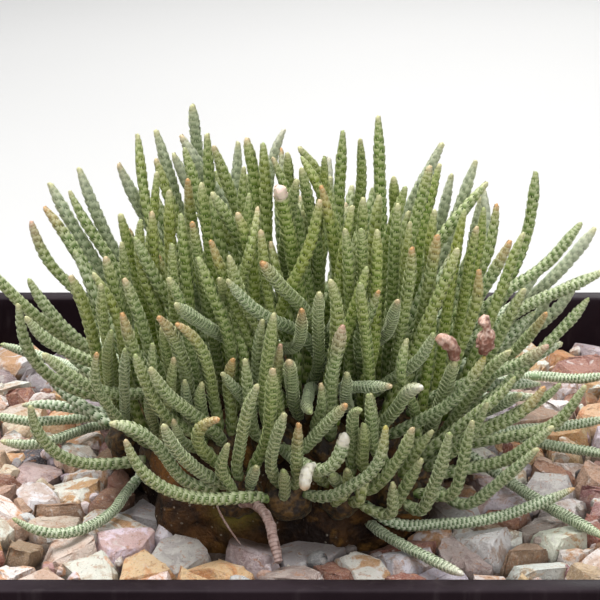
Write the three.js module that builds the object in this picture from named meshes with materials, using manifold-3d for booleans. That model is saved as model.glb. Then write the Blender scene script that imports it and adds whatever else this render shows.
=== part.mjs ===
// A potted avonia quinaria: a square plastic pan filled with potting mix and a
// gravel top dressing, a lumpy caudex, and tufts of stems wrapped in scales.
// Millimetres, +Z up, +Y away from the viewer. The origin is the middle of the
// pan's underside.
import * as THREE from 'three';
import { mergeVertices } from 'three/addons/utils/BufferGeometryUtils.js';
import Module from 'manifold-3d';

const wasm = await Module();
wasm.setup();

// Driving dimensions
const GAP = 0.3;
const POT = {
  halfTop: 75, halfBase: 66, height: 72, wall: 3.5, floor: 3.2,
  cornerTop: 8, cornerBase: 6, lipHeight: 6, lipProud: 1.2,
};
const DRAIN = { radius: 4, offset: 27, sides: 12 };
const SOIL_TOP = 53;
const GRAVEL = {
  rows: 14, valley: 58.5, surface: 62.2, jitter: 0.24, tilt: 0.52, rise: 1.2, beyond: 1,
  leastShrink: 0.084, mostShrink: 0.308, cornerRise: 0.5, leastRise: 0.4,
};
const CAUDEX = {
  x: -2, y: -4, equator: 63, radius: 32, domeHeight: 18, domePower: 2.4,
  lobes: 5, lobeDepth: 0.085, lobesFrom: 50, lobesFull: 60, segments: 25, domeRings: 5,
  knobs: [{ depth: 0.03, count: 8, twist: 0.21 }, { depth: 0.02, count: 13, twist: -0.3 }],
};
// Radius and height of the buried body and tap root, from the equator down
const ROOT_PROFILE = [[30.5, 58.5], [24, 50], [14, 40], [8, 28], [4, 18]];
const ROOT_TIP = 15.5;
const STEM = {
  radius: 1.25, clearance: 0.06, neck: 0.85, sides: 4, points: 15, spacing: 3.4, lowest: 64.4, rootRise: 0.6,
  stretches: [[0, 13, 14], [0, 7, 13, 14], [0, 5, 9, 13, 14]], stray: 0.5,
};
const PUSH = {
  rounds: 90, share: 0.3, longest: 0.8, rootRoom: 0.7, roomPerPoint: 0.1, ballShare: 0.5, ballRoom: 0.4,
  firstLifted: 3,
};
const CROWN = {
  radius: 4.3, taper: 0.86, height: 2.5, sunk: 1.6, sides: 6, spread: 2.7, spreadFade: 3, leanPoint: 4,
};
// Rings of growing points: distance from the middle as a part of the caudex
// radius, their number, and the angle of the first one in degrees
const CROWN_RINGS = [
  { reach: 0.955, count: 20, start: -107.8, skip: 19 },
  { reach: 0.71, count: 14, start: -97, skip: -1 },
  { reach: 0.44, count: 9, start: -80, skip: -1 },
  { reach: 0.165, count: 3, start: -60, skip: -1 },
];
// The space that the tips of the stems reach
const CANOPY = { x: -1, y: 0, z: 62, rx: 61, ry: 58, rz: 68, farShare: 0.45, farFrom: 8 };
// How a stem read in the front view gets its depth
const FACING = { hidden: 40, rootShare: 0.5, deepestRoot: 31, lean: 4, leanShare: 0.8, bulge: 0.3 };
// What makes a crown a poor root for a stem: a turn, a gap, a long stem, a
// depth far from the wanted one, and the stems that it has
const COST = {
  turn: 14, fullTurnGap: 25, gap: 0.12, longest: 52, over: 2, depth: 0.35, depthShare: 0.5, deepest: 50,
  crowding: 2.2,
};
// The stems that the front view hides. Rise is the sine of their elevation, and
// the steep ones start at one value of it and are in full at another
const OTHER_STEMS = {
  count: 160, mostRise: 0.99, leastRise: 0.03, wobble: 0.3, steepFrom: 0.6, steepFull: 0.9,
  shortest: 0.84, steepCut: 0.1, front: 4, frontSpread: 14, steepFront: -16,
  rootX: 0.5, rootY: 0.52, crowding: 1.2, leastBend: 0.12, bendSpread: 0.1,
};
const SEED = 20417;

// The front view that the stems were read in: a camera at this elevation and
// distance, its focal length in pixels, and the height it looks at
const VIEW = { elevation: 19.1, distance: 430, focal: 2263, centre: 300, height: 96 };

// Stems read in the front view, as pixels u, v from the tip down
const FACING_STEMS = [
  // upper left
  [34, 218, 42, 245, 60, 270, 90, 292], [42, 208, 62, 230, 80, 257, 92, 278],
  [76, 187, 82, 210, 100, 240, 110, 258], [141, 134, 145, 180, 148, 218], [120, 213, 127, 239, 130, 250],
  [135, 237, 148, 265, 160, 285, 178, 310], [152, 211, 154, 249], [154, 152, 171, 190],
  [184, 147, 196, 184], [207, 133, 210, 187], [213, 145, 225, 175, 235, 205],
  [246, 137, 256, 177, 258, 205], [263, 142, 267, 198, 268, 235], [184, 180, 186, 223],
  [201, 182, 206, 239], [211, 192, 236, 230], [173, 188, 173, 239], [181, 213, 183, 253, 186, 291],
  [209, 241, 225, 275], [237, 212, 251, 249, 257, 286], [283, 184, 285, 253, 283, 290],
  [293, 181, 295, 249],
  // upper right
  [301, 167, 304, 239], [343, 130, 337, 218], [360, 138, 360, 187, 357, 195], [378, 115, 383, 223],
  [406, 186, 382, 253], [398, 203, 396, 250], [321, 185, 333, 239, 335, 271],
  [320, 199, 314, 253, 295, 286, 290, 312], [345, 228, 348, 253, 350, 301, 351, 332],
  [440, 163, 419, 239], [480, 177, 455, 205, 430, 240, 415, 262], [497, 203, 490, 253, 485, 264],
  [536, 171, 532, 218, 527, 250], [524, 232, 514, 253, 507, 281, 501, 301],
  [511, 240, 496, 268, 489, 281], [582, 222, 556, 253, 551, 267, 522, 279, 514, 285],
  [441, 236, 435, 265, 427, 300], [454, 246, 446, 271, 429, 312, 416, 343],
  [412, 247, 412, 276, 406, 312, 403, 342], [606, 270, 584, 281, 563, 288, 543, 295, 527, 301],
  // middle left
  [-20, 262, 0, 279, 31, 310, 61, 327, 103, 356, 115, 366],
  [28, 278, 34, 291, 61, 322, 80, 335, 113, 356], [18, 303, 22, 340, 41, 373, 82, 396, 125, 403],
  [25, 316, 43, 343, 82, 364, 115, 377], [42, 353, 66, 373, 103, 394, 144, 392],
  [70, 275, 80, 293, 88, 312, 92, 332], [101, 283, 100, 307, 103, 337], [105, 256, 112, 281, 118, 301],
  [124, 278, 133, 301, 144, 327, 148, 353], [122, 313, 128, 332, 135, 351],
  [135, 354, 140, 368, 151, 392, 163, 413], [150, 367, 164, 392, 187, 407, 207, 419, 225, 435],
  // middle
  [200, 255, 207, 276, 214, 296, 224, 317], [229, 255, 235, 276, 243, 293],
  [227, 279, 238, 300, 255, 316, 280, 326, 303, 332], [262, 262, 271, 276, 281, 291, 291, 296],
  [174, 305, 191, 315, 232, 334, 253, 341], [310, 305, 307, 330, 295, 344, 280, 343],
  [160, 316, 174, 332, 184, 373, 183, 398], [174, 322, 191, 330, 207, 363, 211, 394],
  [258, 384, 247, 411, 243, 443, 239, 482], [273, 368, 268, 415, 262, 453],
  [274, 313, 272, 332, 263, 394], [266, 324, 260, 343, 256, 368], [288, 360, 294, 398],
  [316, 296, 318, 322, 316, 363, 311, 384], [330, 279, 334, 301, 331, 332],
  [343, 325, 336, 353, 330, 378], [360, 282, 363, 312, 367, 337],
  [398, 300, 391, 312, 380, 343, 352, 365, 341, 370], [434, 333, 424, 358, 393, 377, 383, 381],
  [455, 361, 453, 373, 446, 398], [392, 386, 372, 386, 351, 384],
  [423, 387, 408, 388, 398, 407, 384, 419], [479, 269, 480, 291, 478, 312, 463, 337, 460, 353],
  [525, 288, 507, 322, 501, 337], [485, 356, 479, 368, 441, 403, 399, 424],
  [547, 312, 537, 327, 522, 343, 507, 353], [589, 297, 573, 315, 543, 340],
  [549, 345, 522, 364, 491, 376], [545, 386, 530, 409, 501, 426, 453, 447],
  [586, 385, 568, 411, 556, 428], [473, 420, 466, 443, 459, 472, 449, 501],
  // lower left
  [30, 405, 34, 430, 52, 451, 80, 463, 122, 459, 149, 453],
  [109, 423, 134, 426, 159, 442, 176, 463, 191, 484], [125, 439, 134, 461, 153, 480, 182, 493, 220, 499],
  [163, 424, 176, 447, 201, 468, 230, 487], [220, 419, 205, 422, 195, 442, 207, 465],
  [262, 463, 249, 482, 237, 497], [228, 443, 216, 470, 232, 492],
  [285, 413, 277, 443, 275, 472, 290, 495], [292, 424, 295, 463, 300, 492],
  // lower right
  [345, 432, 342, 453, 332, 472, 319, 468], [386, 425, 382, 449, 371, 466, 350, 470],
  [413, 427, 403, 453, 382, 476, 373, 487], [347, 404, 329, 422, 311, 442, 300, 453],
  [418, 457, 407, 482, 398, 507], [450, 432, 442, 463, 430, 491, 422, 510], [392, 472, 388, 510],
  [554, 426, 539, 438, 510, 459], [538, 448, 510, 472, 482, 491, 463, 505], [488, 402, 470, 440],
  [335, 440, 330, 485], [360, 425, 362, 480], [322, 430, 325, 480],
];
// The same for stems on the far side
const FAR_STEMS = [
  [49, 182, 65, 217, 90, 253, 105, 280], [77, 170, 92, 205, 113, 245], [118, 163, 143, 203],
  [156, 135, 165, 170], [167, 147, 179, 182], [180, 135, 204, 179], [192, 104, 196, 135, 202, 165],
  [238, 141, 235, 180], [329, 156, 329, 198], [443, 142, 430, 170, 415, 198], [479, 166, 465, 205],
  [452, 173, 445, 213], [596, 227, 563, 269, 544, 284], [577, 284, 558, 312], [550, 295, 535, 325],
  [157, 203, 165, 249, 168, 281],
];
// The same for stems that lie along the gravel
const LYING_STEMS = [
  [0, 344, 15, 349, 40, 356], [-15, 413, 19, 420, 57, 419, 96, 415, 117, 416],
  [0, 441, 25, 447, 54, 440, 86, 426, 107, 420],
  [12, 518, 27, 531, 57, 537, 86, 528, 113, 512, 126, 491, 134, 476],
  [620, 373, 584, 381, 563, 380, 535, 370], [615, 418, 568, 432, 549, 438],
  [620, 457, 568, 445, 547, 442, 526, 434], [606, 538, 568, 516, 539, 499, 516, 482],
  [464, 575, 449, 568, 434, 556, 415, 545, 392, 528, 371, 508, 352, 499],
  [575, 488, 549, 499, 520, 508, 482, 518, 443, 520, 401, 516],
];
// A dead stem that hangs from the first crown to the gravel, and two dry
// flowers: the stem that each stands on, by its tip, and the flower's own top
const WITHERED_STEM = { radius: 1.06, pixels: [288, 556, 279, 541, 272, 522, 258, 508, 246, 503] };
const DRIED_FLOWERS = [
  { on: [485, 356], top: [487, 316], radius: 1.7 }, { on: [455, 361], top: [434, 338], radius: 1.35 },
];
// Their form: radius as a part of the largest, at a part of the height
const FLOWER = {
  sides: 7, flutes: 3, fluteDepth: 0.14, profile: [[0.45, 0.02], [1, 0.3], [0.9, 0.65], [0.55, 0.92]],
  middle: 0.4, room: 1.5,
};

// Colours
const COLOUR = {
  pot: 0x2b2226, soil: 0x3a2a20, gravel: 0xc3ab9c, caudex: 0x5d4a26,
  stem: 0x7d8561, withered: 0x81695f, flower: 0x8a6a52,
};

// Vector and random helpers
const V = (x, y, z) => new THREE.Vector3(x, y, z);
const radians = (degrees) => degrees * Math.PI / 180;
const clamp = (value, low, high) => Math.min(high, Math.max(low, value));
const mix = (a, b, t) => a + (b - a) * t;

function seeded(seed) {
  let state = seed >>> 0;
  return () => {
    state = (state + 0x6d2b79f5) >>> 0;
    let t = Math.imul(state ^ (state >>> 15), state | 1);
    t = (t + Math.imul(t ^ (t >>> 7), t | 61)) ^ t;
    return ((t ^ (t >>> 14)) >>> 0) / 4294967296;
  };
}

// Solids: a closed mesh from rings of points, and joins and cuts
function loft(rings, firstPoint, lastPoint) {
  const sides = rings[0].length;
  const points = rings.flat();
  const index = [];
  for (let r = 0; r + 1 < rings.length; r += 1) {
    for (let s = 0; s < sides; s += 1) {
      const a = r * sides + s;
      const b = r * sides + (s + 1) % sides;
      index.push(a, b, b + sides, a, b + sides, a + sides);
    }
  }
  const first = points.length;
  points.push(firstPoint, lastPoint);
  const top = (rings.length - 1) * sides;
  for (let s = 0; s < sides; s += 1) {
    const next = (s + 1) % sides;
    index.push(first, next, s);
    index.push(first + 1, top + s, top + next);
  }
  const geometry = new THREE.BufferGeometry().setFromPoints(points);
  geometry.setIndex(index);
  return geometry;
}

function signedVolume(positions, index) {
  const a = V();
  const b = V();
  const c = V();
  let sum = 0;
  for (let i = 0; i < index.length; i += 3) {
    a.fromArray(positions, index[i] * 3);
    b.fromArray(positions, index[i + 1] * 3);
    c.fromArray(positions, index[i + 2] * 3);
    sum += a.dot(b.cross(c));
  }
  return sum;
}

function solid(source) {
  const bare = source.clone();
  bare.deleteAttribute('normal');
  bare.deleteAttribute('uv');
  const merged = mergeVertices(bare, 1e-4);
  const vertProperties = new Float32Array(merged.attributes.position.array);
  const triVerts = new Uint32Array(merged.index.array);
  if (signedVolume(vertProperties, triVerts) < 0) {
    for (let i = 0; i < triVerts.length; i += 3) {
      [triVerts[i], triVerts[i + 1]] = [triVerts[i + 1], triVerts[i]];
    }
  }
  return new wasm.Manifold(new wasm.Mesh({ numProp: 3, vertProperties, triVerts }));
}

const joined = (solids) => solids.reduce((whole, piece) => whole.add(piece));

function largestPiece(whole) {
  const pieces = whole.decompose();
  pieces.sort((a, b) => b.getMesh().triVerts.length - a.getMesh().triVerts.length);
  return pieces[0];
}

function meshOf(name, manifold, colour, roughness) {
  const data = manifold.getMesh();
  const geometry = new THREE.BufferGeometry();
  geometry.setAttribute('position', new THREE.BufferAttribute(data.vertProperties, 3));
  geometry.setIndex(new THREE.BufferAttribute(data.triVerts, 1));
  geometry.computeVertexNormals();
  const material = new THREE.MeshStandardMaterial({ color: colour, roughness, metalness: 0 });
  const mesh = new THREE.Mesh(geometry, material);
  mesh.name = name;
  return mesh;
}

// The pan and what fills it
function roundedSquare(half, corner, z) {
  const steps = 3;
  const ring = [];
  for (let quarter = 0; quarter < 4; quarter += 1) {
    const middle = radians(45 + 90 * quarter);
    const cx = Math.sign(Math.cos(middle)) * (half - corner);
    const cy = Math.sign(Math.sin(middle)) * (half - corner);
    for (let i = 0; i <= steps; i += 1) {
      const angle = radians(90 * quarter + 90 * i / steps);
      ring.push(V(cx + corner * Math.cos(angle), cy + corner * Math.sin(angle), z));
    }
  }
  return ring;
}

function squareLoft(levels) {
  const rings = levels.map(([half, corner, z]) => roundedSquare(half, corner, z));
  const low = levels[0][2];
  const high = levels[levels.length - 1][2];
  return solid(loft(rings, V(0, 0, low), V(0, 0, high)));
}

function innerHalf(z) {
  const t = (z - POT.floor) / (POT.height - POT.floor);
  return mix(POT.halfBase, POT.halfTop - POT.lipProud, t) - POT.wall;
}

function fillBlock(low, high) {
  const corner = POT.cornerTop - POT.wall;
  return squareLoft([[innerHalf(low) - GAP, corner, low], [innerHalf(high) - GAP, corner, high]]);
}

function makePot() {
  const bodyTop = POT.halfTop - POT.lipProud;
  const lip = POT.height - POT.lipHeight;
  const outer = squareLoft([
    [POT.halfBase, POT.cornerBase, 0], [bodyTop, POT.cornerTop - POT.lipProud, lip],
    [POT.halfTop, POT.cornerTop, lip + POT.lipProud / 2], [POT.halfTop, POT.cornerTop, POT.height],
  ]);
  const corner = POT.cornerTop - POT.wall;
  const above = POT.height + 2;
  let shell = outer.subtract(squareLoft([
    [innerHalf(POT.floor), corner, POT.floor], [innerHalf(above), corner, above],
  ]));
  for (const x of [-DRAIN.offset, DRAIN.offset]) {
    for (const y of [-DRAIN.offset, DRAIN.offset]) {
      const hole = new THREE.CylinderGeometry(DRAIN.radius, DRAIN.radius, POT.floor * 3, DRAIN.sides);
      hole.rotateX(Math.PI / 2);
      hole.translate(x, y, 0);
      shell = shell.subtract(solid(hole));
    }
  }
  return shell;
}

// The caudex: a lobed dome on a tap root, grown outwards by margin for the
// places that have to stay clear of it
function lobeFactor(angle, height) {
  const lobes = -CAUDEX.lobeDepth * Math.cos(CAUDEX.lobes * (angle + Math.PI / 2));
  const knobs = CAUDEX.knobs.map((knob) => knob.depth * Math.sin(knob.count * angle + knob.twist * height));
  const fade = clamp((height - CAUDEX.lobesFrom) / (CAUDEX.lobesFull - CAUDEX.lobesFrom), 0, 1);
  return 1 + (lobes + knobs[0] + knobs[1]) * fade;
}

function domePoint(angle, reach, margin = 0) {
  const q = Math.min(reach, 1);
  const rise = CAUDEX.domeHeight * (1 - q ** CAUDEX.domePower) ** (1 / CAUDEX.domePower);
  const z = CAUDEX.equator + rise;
  const radius = CAUDEX.radius * lobeFactor(angle, z) * reach + margin * reach;
  const [x, y] = [CAUDEX.x + radius * Math.cos(angle), CAUDEX.y + radius * Math.sin(angle)];
  return V(x, y, z + margin * (1 - q * q));
}

function caudexSolid(margin) {
  const rings = [];
  const ring = (at) => {
    const points = [];
    for (let s = 0; s < CAUDEX.segments; s += 1) points.push(at(2 * Math.PI * s / CAUDEX.segments));
    rings.push(points);
  };
  for (let i = ROOT_PROFILE.length - 1; i >= 0; i -= 1) {
    const [radius, z] = ROOT_PROFILE[i];
    ring((angle) => {
      const r = radius * lobeFactor(angle, z) + margin;
      return V(CAUDEX.x + r * Math.cos(angle), CAUDEX.y + r * Math.sin(angle), z - margin / 2);
    });
  }
  for (let i = 0; i < CAUDEX.domeRings; i += 1) {
    const swing = radians(90 * i / CAUDEX.domeRings);
    const reach = Math.cos(swing) ** (2 / CAUDEX.domePower);
    ring((angle) => domePoint(angle, reach, margin));
  }
  const tip = V(CAUDEX.x, CAUDEX.y, ROOT_TIP - margin);
  const top = V(CAUDEX.x, CAUDEX.y, CAUDEX.equator + CAUDEX.domeHeight + margin);
  return solid(loft(rings, tip, top));
}

function crownList() {
  const crowns = [];
  for (const { reach, count, start, skip } of CROWN_RINGS) {
    for (let i = 0; i < count; i += 1) {
      if (i === skip) continue;
      const angle = radians(start + 360 * i / count);
      const at = domePoint(angle, reach);
      const along = domePoint(angle + 0.02, reach).sub(domePoint(angle - 0.02, reach));
      const across = domePoint(angle, reach + 0.02).sub(domePoint(angle, reach - 0.02));
      const normal = V().crossVectors(across, along).normalize();
      crowns.push({ at, normal, stems: [] });
    }
  }
  return crowns;
}

// From pixels of the front view to places in space
const TILT = { sin: Math.sin(radians(VIEW.elevation)), cos: Math.cos(radians(VIEW.elevation)) };
const EYE = V(0, -VIEW.distance * TILT.cos, VIEW.height + VIEW.distance * TILT.sin);

function sight(u, v) {
  const right = (u - VIEW.centre) / VIEW.focal;
  const up = (VIEW.centre - v) / VIEW.focal;
  return V(right, TILT.cos + up * TILT.sin, -TILT.sin + up * TILT.cos);
}

function atDepth(u, v, y) {
  const dir = sight(u, v);
  return EYE.clone().addScaledVector(dir, (y - EYE.y) / dir.y);
}

function atHeight(u, v, z) {
  const dir = sight(u, v);
  return EYE.clone().addScaledVector(dir, (z - EYE.z) / dir.z);
}

function toPixel(p) {
  const depth = VIEW.distance + p.y * TILT.cos - (p.z - VIEW.height) * TILT.sin;
  const rise = p.y * TILT.sin + (p.z - VIEW.height) * TILT.cos;
  return [VIEW.centre + VIEW.focal * p.x / depth, VIEW.centre - VIEW.focal * rise / depth];
}

// Where the line of sight through a tip meets the canopy: its near side for
// facing stems, between its middle and its far side for far ones
function canopyDepth(u, v, far) {
  const radius = V(CANOPY.rx, CANOPY.ry, CANOPY.rz);
  const from = EYE.clone().sub(V(CANOPY.x, CANOPY.y, CANOPY.z)).divide(radius);
  const dir = sight(u, v);
  const step = dir.clone().divide(radius);
  const a = step.dot(step);
  const b = from.dot(step);
  const spread = Math.sqrt(Math.max(0, b * b - a * (from.dot(from) - 1))) / a;
  const middle = EYE.y + dir.y * (-b / a);
  if (far) return Math.max(middle + CANOPY.farShare * spread * dir.y, CANOPY.farFrom);
  return middle - spread * dir.y;
}

function pathLength(pixels) {
  let length = 0;
  for (let i = 1; i < pixels.length; i += 1) {
    length += Math.hypot(pixels[i][0] - pixels[i - 1][0], pixels[i][1] - pixels[i - 1][1]);
  }
  return length;
}

// How well a crown continues a stem past its last visible point
function crownCost(crown, pixels, tipY) {
  const [last, before] = [pixels[pixels.length - 1], pixels[pixels.length - 2]];
  const [u, v] = toPixel(crown.at);
  const along = [last[0] - before[0], last[1] - before[1]];
  const hidden = [u - last[0], v - last[1]];
  const gap = Math.hypot(...hidden);
  const cosine = (along[0] * hidden[0] + along[1] * hidden[1]) / (Math.hypot(...along) * gap + 1e-6);
  const turn = Math.acos(clamp(cosine, -1, 1)) * Math.min(1, gap / COST.fullTurnGap);
  const millimetres = (pathLength(pixels) + gap) * VIEW.distance / VIEW.focal;
  const over = Math.max(0, Math.hypot(millimetres, tipY - crown.at.y) - COST.longest);
  const wanted = clamp(tipY, -COST.deepest, COST.deepest) * COST.depthShare;
  const depth = Math.abs(crown.at.y - wanted);
  const bend = turn * COST.turn + gap * COST.gap;
  return bend + over * COST.over + depth * COST.depth + crown.stems.length * COST.crowding;
}

function resample(points, count) {
  const lengths = [0];
  for (let i = 1; i < points.length; i += 1) {
    lengths.push(lengths[i - 1] + points[i].distanceTo(points[i - 1]));
  }
  const total = lengths[lengths.length - 1];
  const out = [];
  let k = 0;
  for (let i = 0; i < count; i += 1) {
    const want = total * i / (count - 1);
    while (k + 2 < points.length && lengths[k + 1] < want) k += 1;
    const t = (want - lengths[k]) / (lengths[k + 1] - lengths[k]);
    out.push(points[k].clone().lerp(points[k + 1], clamp(t, 0, 1)));
  }
  return out;
}

function alongStem(points, k) {
  const low = Math.min(Math.floor(k), points.length - 2);
  return points[low].clone().lerp(points[low + 1], k - low);
}

function smooth(points, passes) {
  let now = points;
  for (let pass = 0; pass < passes; pass += 1) {
    now = now.map((p, i) => {
      if (i === 0 || i === now.length - 1) return p;
      return p.clone().multiplyScalar(2).add(now[i - 1]).add(now[i + 1]).multiplyScalar(0.25);
    });
  }
  return now;
}

function pairs(flat) {
  const out = [];
  for (let i = 0; i < flat.length; i += 2) out.push([flat[i], flat[i + 1]]);
  return out;
}

function addStem(crowns, pixels, tipY, place) {
  const costs = crowns.map((crown) => crownCost(crown, pixels, tipY));
  const crown = crowns[costs.indexOf(Math.min(...costs))];
  const route = [...pixels, toPixel(crown.at)];
  const points = [crown.at.clone()];
  for (let i = pixels.length - 1; i >= 0; i -= 1) {
    const left = pathLength(route.slice(0, i + 1)) / pathLength(route);
    points.push(place(pixels[i], 1 - left, crown));
  }
  const line = smooth(resample(points, STEM.points), 3);
  crown.stems.push({ points: line, tip: pixels[0] });
}

function addFacingStem(crowns, flat, far) {
  const pixels = pairs(flat);
  const wanted = canopyDepth(pixels[0][0], pixels[0][1], far);
  const rootY = clamp(wanted * FACING.rootShare, -FACING.deepestRoot, FACING.deepestRoot);
  const length = (pathLength(pixels) + FACING.hidden) * VIEW.distance / VIEW.focal;
  const lean = FACING.lean + FACING.leanShare * length;
  const tipY = clamp(wanted, rootY - lean, rootY + lean);
  addStem(crowns, pixels, tipY, ([u, v], s, crown) => {
    return atDepth(u, v, mix(crown.at.y, tipY, s * (1 + FACING.bulge * (1 - s))));
  });
}

// A lying stem follows the gravel from its root outwards, and where it rises
// in the view it lifts off
function addLyingStem(crowns, flat) {
  const pixels = pairs(flat);
  const height = STEM.lowest + STEM.radius / 2;
  const depths = [];
  let lowestV = -Infinity;
  let y = 0;
  for (let i = pixels.length - 1; i >= 0; i -= 1) {
    if (pixels[i][1] >= lowestV) {
      lowestV = pixels[i][1];
      y = atHeight(pixels[i][0], pixels[i][1], height).y;
    }
    depths[i] = y;
  }
  addStem(crowns, pixels, depths[0], (pixel) => {
    return atDepth(pixel[0], pixel[1], depths[pixels.findIndex((p) => p === pixel)]);
  });
}

// Stems that the front view hides, inside the plant and on its far side, spread
// evenly by turning each one by the golden angle. The steep ones are shorter
function addOtherStems(crowns, random) {
  const golden = Math.PI * (3 - Math.sqrt(5));
  const other = OTHER_STEMS;
  for (let i = 0; i < other.count; i += 1) {
    const rise = mix(other.mostRise, other.leastRise, (i + 0.5) / other.count);
    const angle = golden * i + other.wobble * random();
    const side = Math.sqrt(1 - rise * rise);
    const steep = clamp((rise - other.steepFrom) / (other.steepFull - other.steepFrom), 0, 1);
    const size = mix(other.shortest, 1, random()) - other.steepCut * steep;
    const tip = V(
      CANOPY.x + CANOPY.rx * side * Math.cos(angle) * size,
      CANOPY.y + CANOPY.ry * side * Math.sin(angle) * size,
      Math.max(CANOPY.z + CANOPY.rz * rise * size, STEM.lowest + 1),
    );
    if (tip.y < mix(other.frontSpread * random() + other.front, other.steepFront, steep)) continue;
    const costs = crowns.map(({ at, stems }) => {
      const [x, y] = [at.x - CAUDEX.x - other.rootX * tip.x, at.y - CAUDEX.y - other.rootY * tip.y];
      return Math.hypot(x, y) + stems.length * other.crowding;
    });
    const crown = crowns[costs.indexOf(Math.min(...costs))];
    const straight = tip.clone().sub(crown.at);
    const bend = V(straight.x, straight.y, 0).multiplyScalar(other.leastBend + other.bendSpread * random());
    const middle = crown.at.clone().addScaledVector(straight, 0.5).add(bend);
    const line = smooth(resample([crown.at.clone(), middle, tip], STEM.points), 4);
    crown.stems.push({ points: line });
  }
}

// Pushes stems apart where they would cross. The samples of the stems are
// sorted into cubes, so that only near ones are compared
const CUBE = 4;

const cubeOf = (p) => [p.x, p.y, p.z].map((part) => Math.floor(part / CUBE));

function stemSamples(lines) {
  const samples = [];
  lines.forEach((line, stem) => {
    for (let k = 1; k < line.length - 0.5; k += 0.5) samples.push({ stem, k, at: alongStem(line, k) });
  });
  return samples;
}

function closePairs(samples, reach) {
  const cubes = new Map();
  for (const sample of samples) {
    const name = cubeOf(sample.at).join();
    if (!cubes.has(name)) cubes.set(name, []);
    cubes.get(name).push(sample);
  }
  const found = [];
  for (const one of samples) {
    const [x, y, z] = cubeOf(one.at);
    for (let n = 0; n < 27; n += 1) {
      const name = [x - 1 + n % 3, y - 1 + Math.floor(n / 3) % 3, z - 1 + Math.floor(n / 9)].join();
      for (const two of cubes.get(name) ?? []) {
        if (two.stem > one.stem && one.at.distanceTo(two.at) < reach) found.push([one, two]);
      }
    }
  }
  return found;
}

function pushPair(push, one, two, room) {
  const away = one.at.clone().sub(two.at);
  const distance = away.length();
  if (distance >= room || distance < 1e-6) return;
  away.multiplyScalar(PUSH.share * (room - distance) / distance);
  for (const k of [Math.floor, Math.ceil]) {
    push[one.stem][k(one.k)].add(away);
    push[two.stem][k(two.k)].sub(away);
  }
}

// Stems of one crown may stand closer at their roots
function roomBetween(one, two, sameCrown) {
  if (!sameCrown) return STEM.spacing;
  return STEM.spacing * Math.min(1, PUSH.rootRoom + PUSH.roomPerPoint * Math.min(one.k, two.k));
}

function pushFromBall(force, p, ball) {
  const away = p.clone().sub(ball.at);
  const distance = away.length();
  const room = ball.radius + STEM.radius + PUSH.ballRoom;
  if (distance < room) force.addScaledVector(away, PUSH.ballShare * (room - distance) / distance);
}

function spread(stems, balls) {
  const last = STEM.points - 1;
  for (const { stem, crown } of stems) {
    const lean = stem.points[CROWN.leanPoint].clone().sub(crown.at).normalize();
    lean.addScaledVector(crown.normal, -lean.dot(crown.normal));
    const fade = (k) => (1 - k / last) ** CROWN.spreadFade;
    stem.offset = stem.points.map((p, k) => lean.clone().multiplyScalar(CROWN.spread * fade(k)));
  }
  for (let round = 0; round < PUSH.rounds; round += 1) {
    const lines = stems.map(({ stem }) => stem.points.map((p, k) => p.clone().add(stem.offset[k])));
    const push = lines.map((line) => line.map(() => V()));
    for (const [one, two] of closePairs(stemSamples(lines), STEM.spacing)) {
      const sameCrown = stems[one.stem].crown === stems[two.stem].crown;
      pushPair(push, one, two, roomBetween(one, two, sameCrown));
    }
    stems.forEach(({ stem, crown }, i) => {
      lines[i].forEach((p, k) => {
        for (const ball of balls) {
          if (ball.owner !== crown && ball.owner !== stem) pushFromBall(push[i][k], p, ball);
        }
        if (k >= PUSH.firstLifted) push[i][k].z += Math.max(0, STEM.lowest - p.z);
      });
      const moved = smooth(push[i], 2).map((move) => move.clampLength(0, PUSH.longest));
      stem.offset = smooth(stem.offset.map((offset, k) => offset.clone().add(moved[k])), 1);
      const root = stem.offset[0];
      root.addScaledVector(crown.normal, -root.dot(crown.normal));
      root.clampLength(0, CROWN.spread);
    });
  }
  for (const { stem } of stems) stem.points = stem.points.map((p, k) => p.clone().add(stem.offset[k]));
}

// How far a stem's line strays from straight stretches between some steps
function strays(points, steps) {
  let most = 0;
  for (let i = 1; i < steps.length; i += 1) {
    const from = points[steps[i - 1]];
    const chord = points[steps[i]].clone().sub(from);
    for (let k = steps[i - 1] + 1; k < steps[i]; k += 1) {
      const off = points[k].clone().sub(from);
      most = Math.max(most, off.addScaledVector(chord, -off.dot(chord) / chord.lengthSq()).length());
    }
  }
  return most;
}

// A stem's solid line: the fewest straight stretches that keep its bend
function stemLine({ points }, crown) {
  const close = STEM.stretches.find((choice) => strays(points, choice) < STEM.stray);
  const steps = close ?? STEM.stretches[STEM.stretches.length - 1];
  const root = points[0].clone().addScaledVector(crown.normal, STEM.rootRise);
  return [root, ...steps.slice(1).map((k) => points[k])];
}

function stemSolid(line, radius) {
  const rings = [];
  let across = V(0.31, 0.17, 0.94);
  for (let r = 0; r + 1 < line.length; r += 1) {
    const along = V().subVectors(line[r + 1], line[Math.max(0, r - 1)]).normalize();
    const side = V().crossVectors(along, across).normalize();
    across = V().crossVectors(side, along).normalize();
    const size = radius * (r + 2 === line.length ? STEM.neck : 1);
    const ring = [];
    for (let n = 0; n < STEM.sides; n += 1) {
      const angle = 2 * Math.PI * (n + 0.5 * (r % 2)) / STEM.sides;
      const p = line[r].clone().addScaledVector(side, size * Math.cos(angle));
      ring.push(p.addScaledVector(across, size * Math.sin(angle)));
    }
    rings.push(ring);
  }
  return solid(loft(rings, line[0], line[line.length - 1]));
}

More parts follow.
